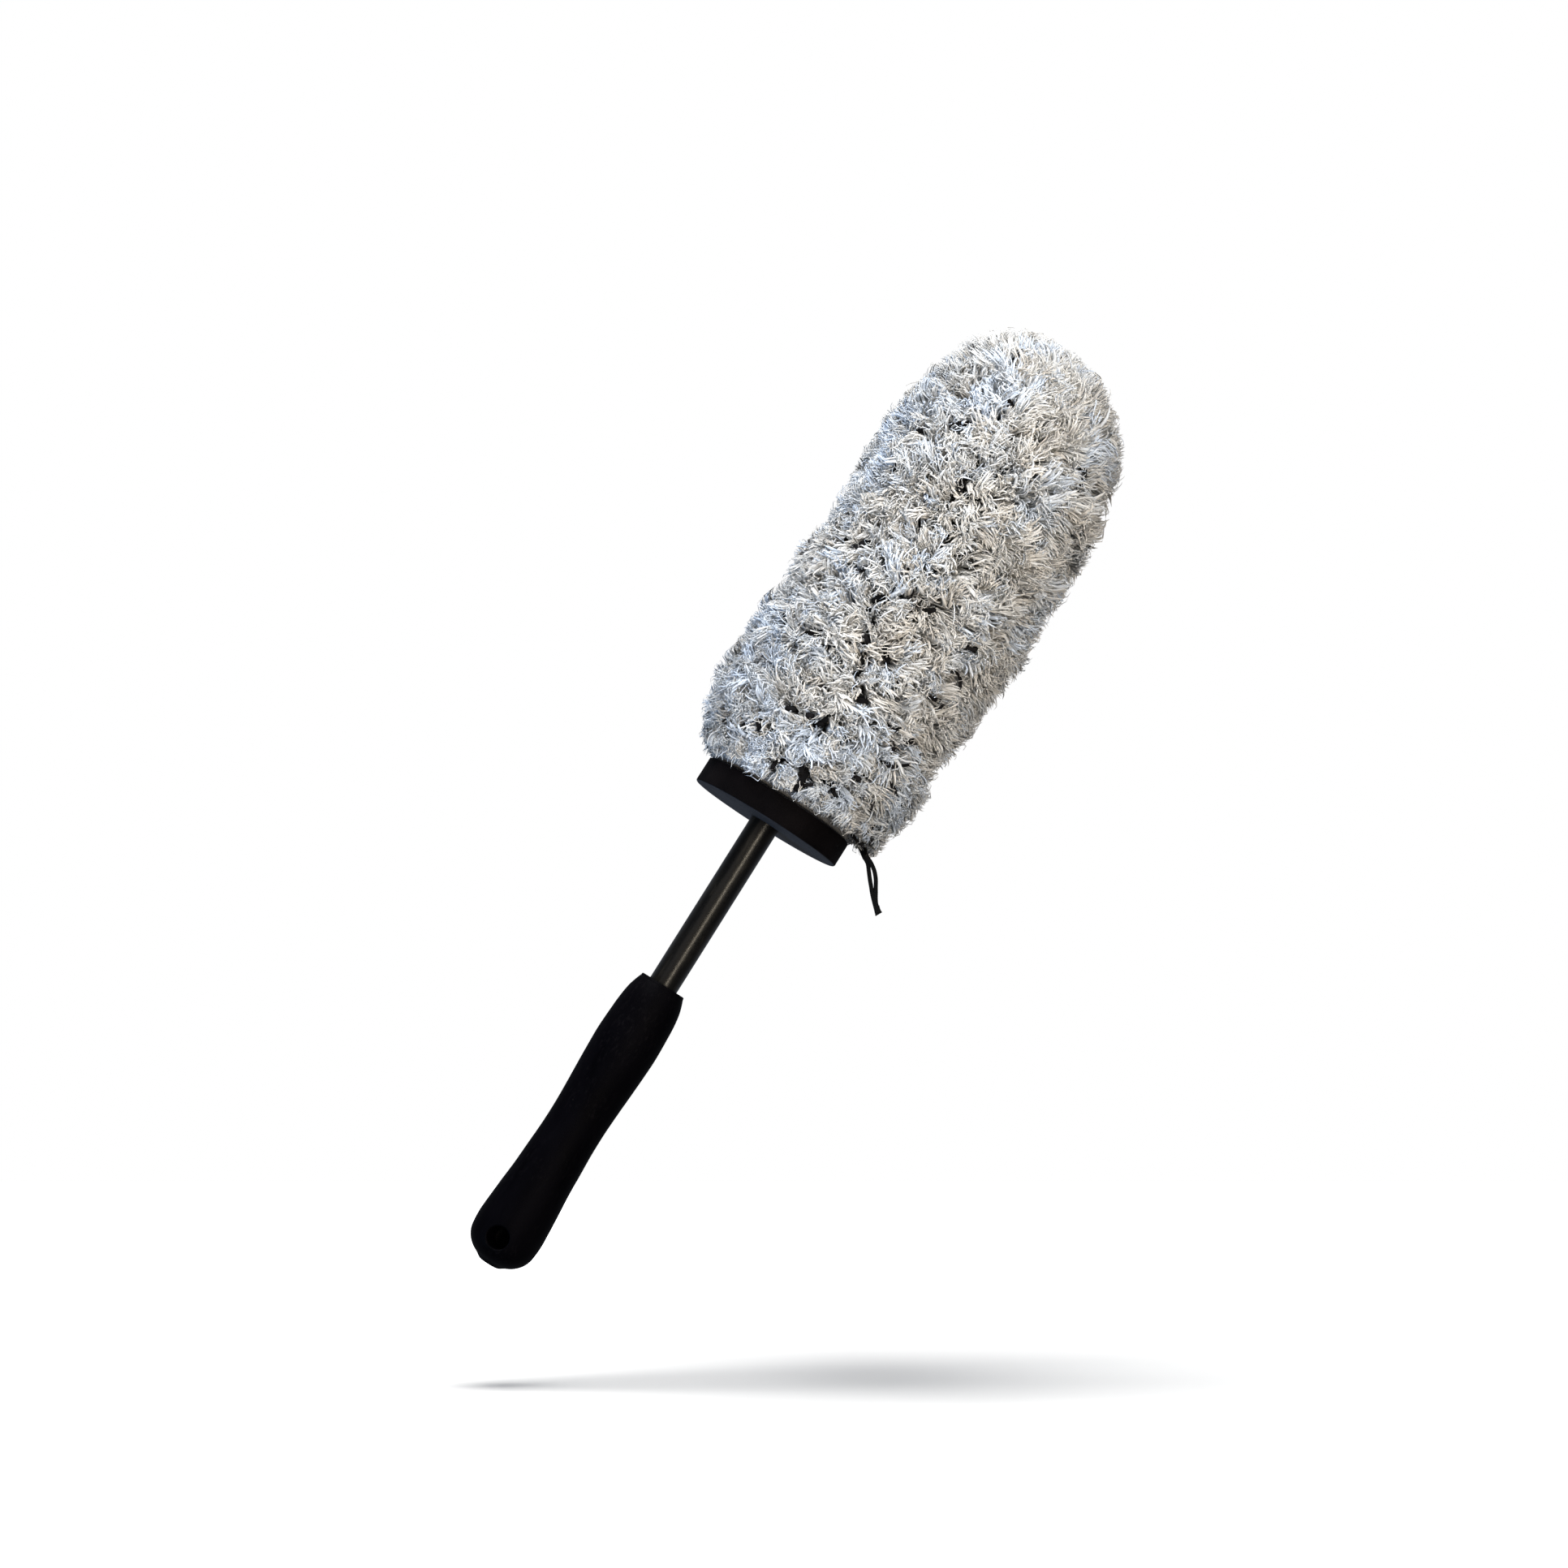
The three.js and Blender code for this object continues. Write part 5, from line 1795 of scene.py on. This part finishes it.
def pale_floor():
    """Glows to plain white away from the brush, and is clear from below."""
    material = bpy.data.materials.new("pale_floor")
    material.use_nodes = True
    m = Nodes(material.node_tree)
    m.tree.nodes.clear()
    shade = m.noise(m.coords(), scale=9.0, detail=2, roughness=0.5)
    shade = m.ramp(shade, (0.3, 0.84), (0.7, 0.87))
    diffuse = m.add("ShaderNodeBsdfDiffuse", {"Color": shade})
    geometry = m.add("ShaderNodeNewGeometry").outputs
    glow_centre = tuple((FLOOR_CENTRE + RIGHT * 5) * MM)
    away = m.vector("DISTANCE", geometry["Position"], glow_centre)["Value"]
    glow = m.ramp(away, (0.0, 0.13), (0.20, 0.19), (0.42, 1.05), interpolation="EASE")
    emission = m.add("ShaderNodeEmission", {"Strength": glow})
    lit = m.add("ShaderNodeAddShader", {0: diffuse.outputs[0], 1: emission.outputs[0]})
    clear = m.add("ShaderNodeBsdfTransparent")
    inputs = {"Fac": geometry["Backfacing"], 1: lit.outputs[0], 2: clear.outputs[0]}
    surface = m.add("ShaderNodeMixShader", inputs).outputs[0]
    m.add("ShaderNodeOutputMaterial", {"Surface": surface})
    return material


def build_floor():
    away = VIEW * math.cos(FLOOR_FALL) - UP * math.sin(FLOOR_FALL)
    side = RIGHT * FLOOR_FAR
    near, far = FLOOR_CENTRE - away * FLOOR_NEAR, FLOOR_CENTRE + away * FLOOR_FAR
    corners = [near - side, near + side, far + side, far - side]
    ob = link("floor", corners, [(0, 1, 2, 3)], smooth=False)
    ob.data.materials.append(pale_floor())
    ob.visible_diffuse = False
    ob.visible_glossy = False
    ob.visible_shadow = False
    return ob


# only the overhead light reaches the floor, so it has one soft shadow
not_floor = bpy.data.collections.new("not_the_floor")
not_floor.objects.link(build_floor())
not_floor.collection_objects[0].light_linking.link_state = "EXCLUDE"
for lamp in lights:
    lamp.light_linking.receiver_collection = not_floor
pile_only = bpy.data.collections.new("pile_only")
for ob in list(bpy.context.scene.objects):
    if ob.type == "MESH" and ob.name.startswith(("pile_front_", "pile_back_", "hem_tape_free")):
        pile_only.objects.link(ob)
pile_soft.light_linking.receiver_collection = pile_only

view_settings = bpy.context.scene.view_settings
view_settings.view_transform = "Standard"
view_settings.look = "None"
view_settings.exposure = 0.0
view_settings.gamma = 1.0
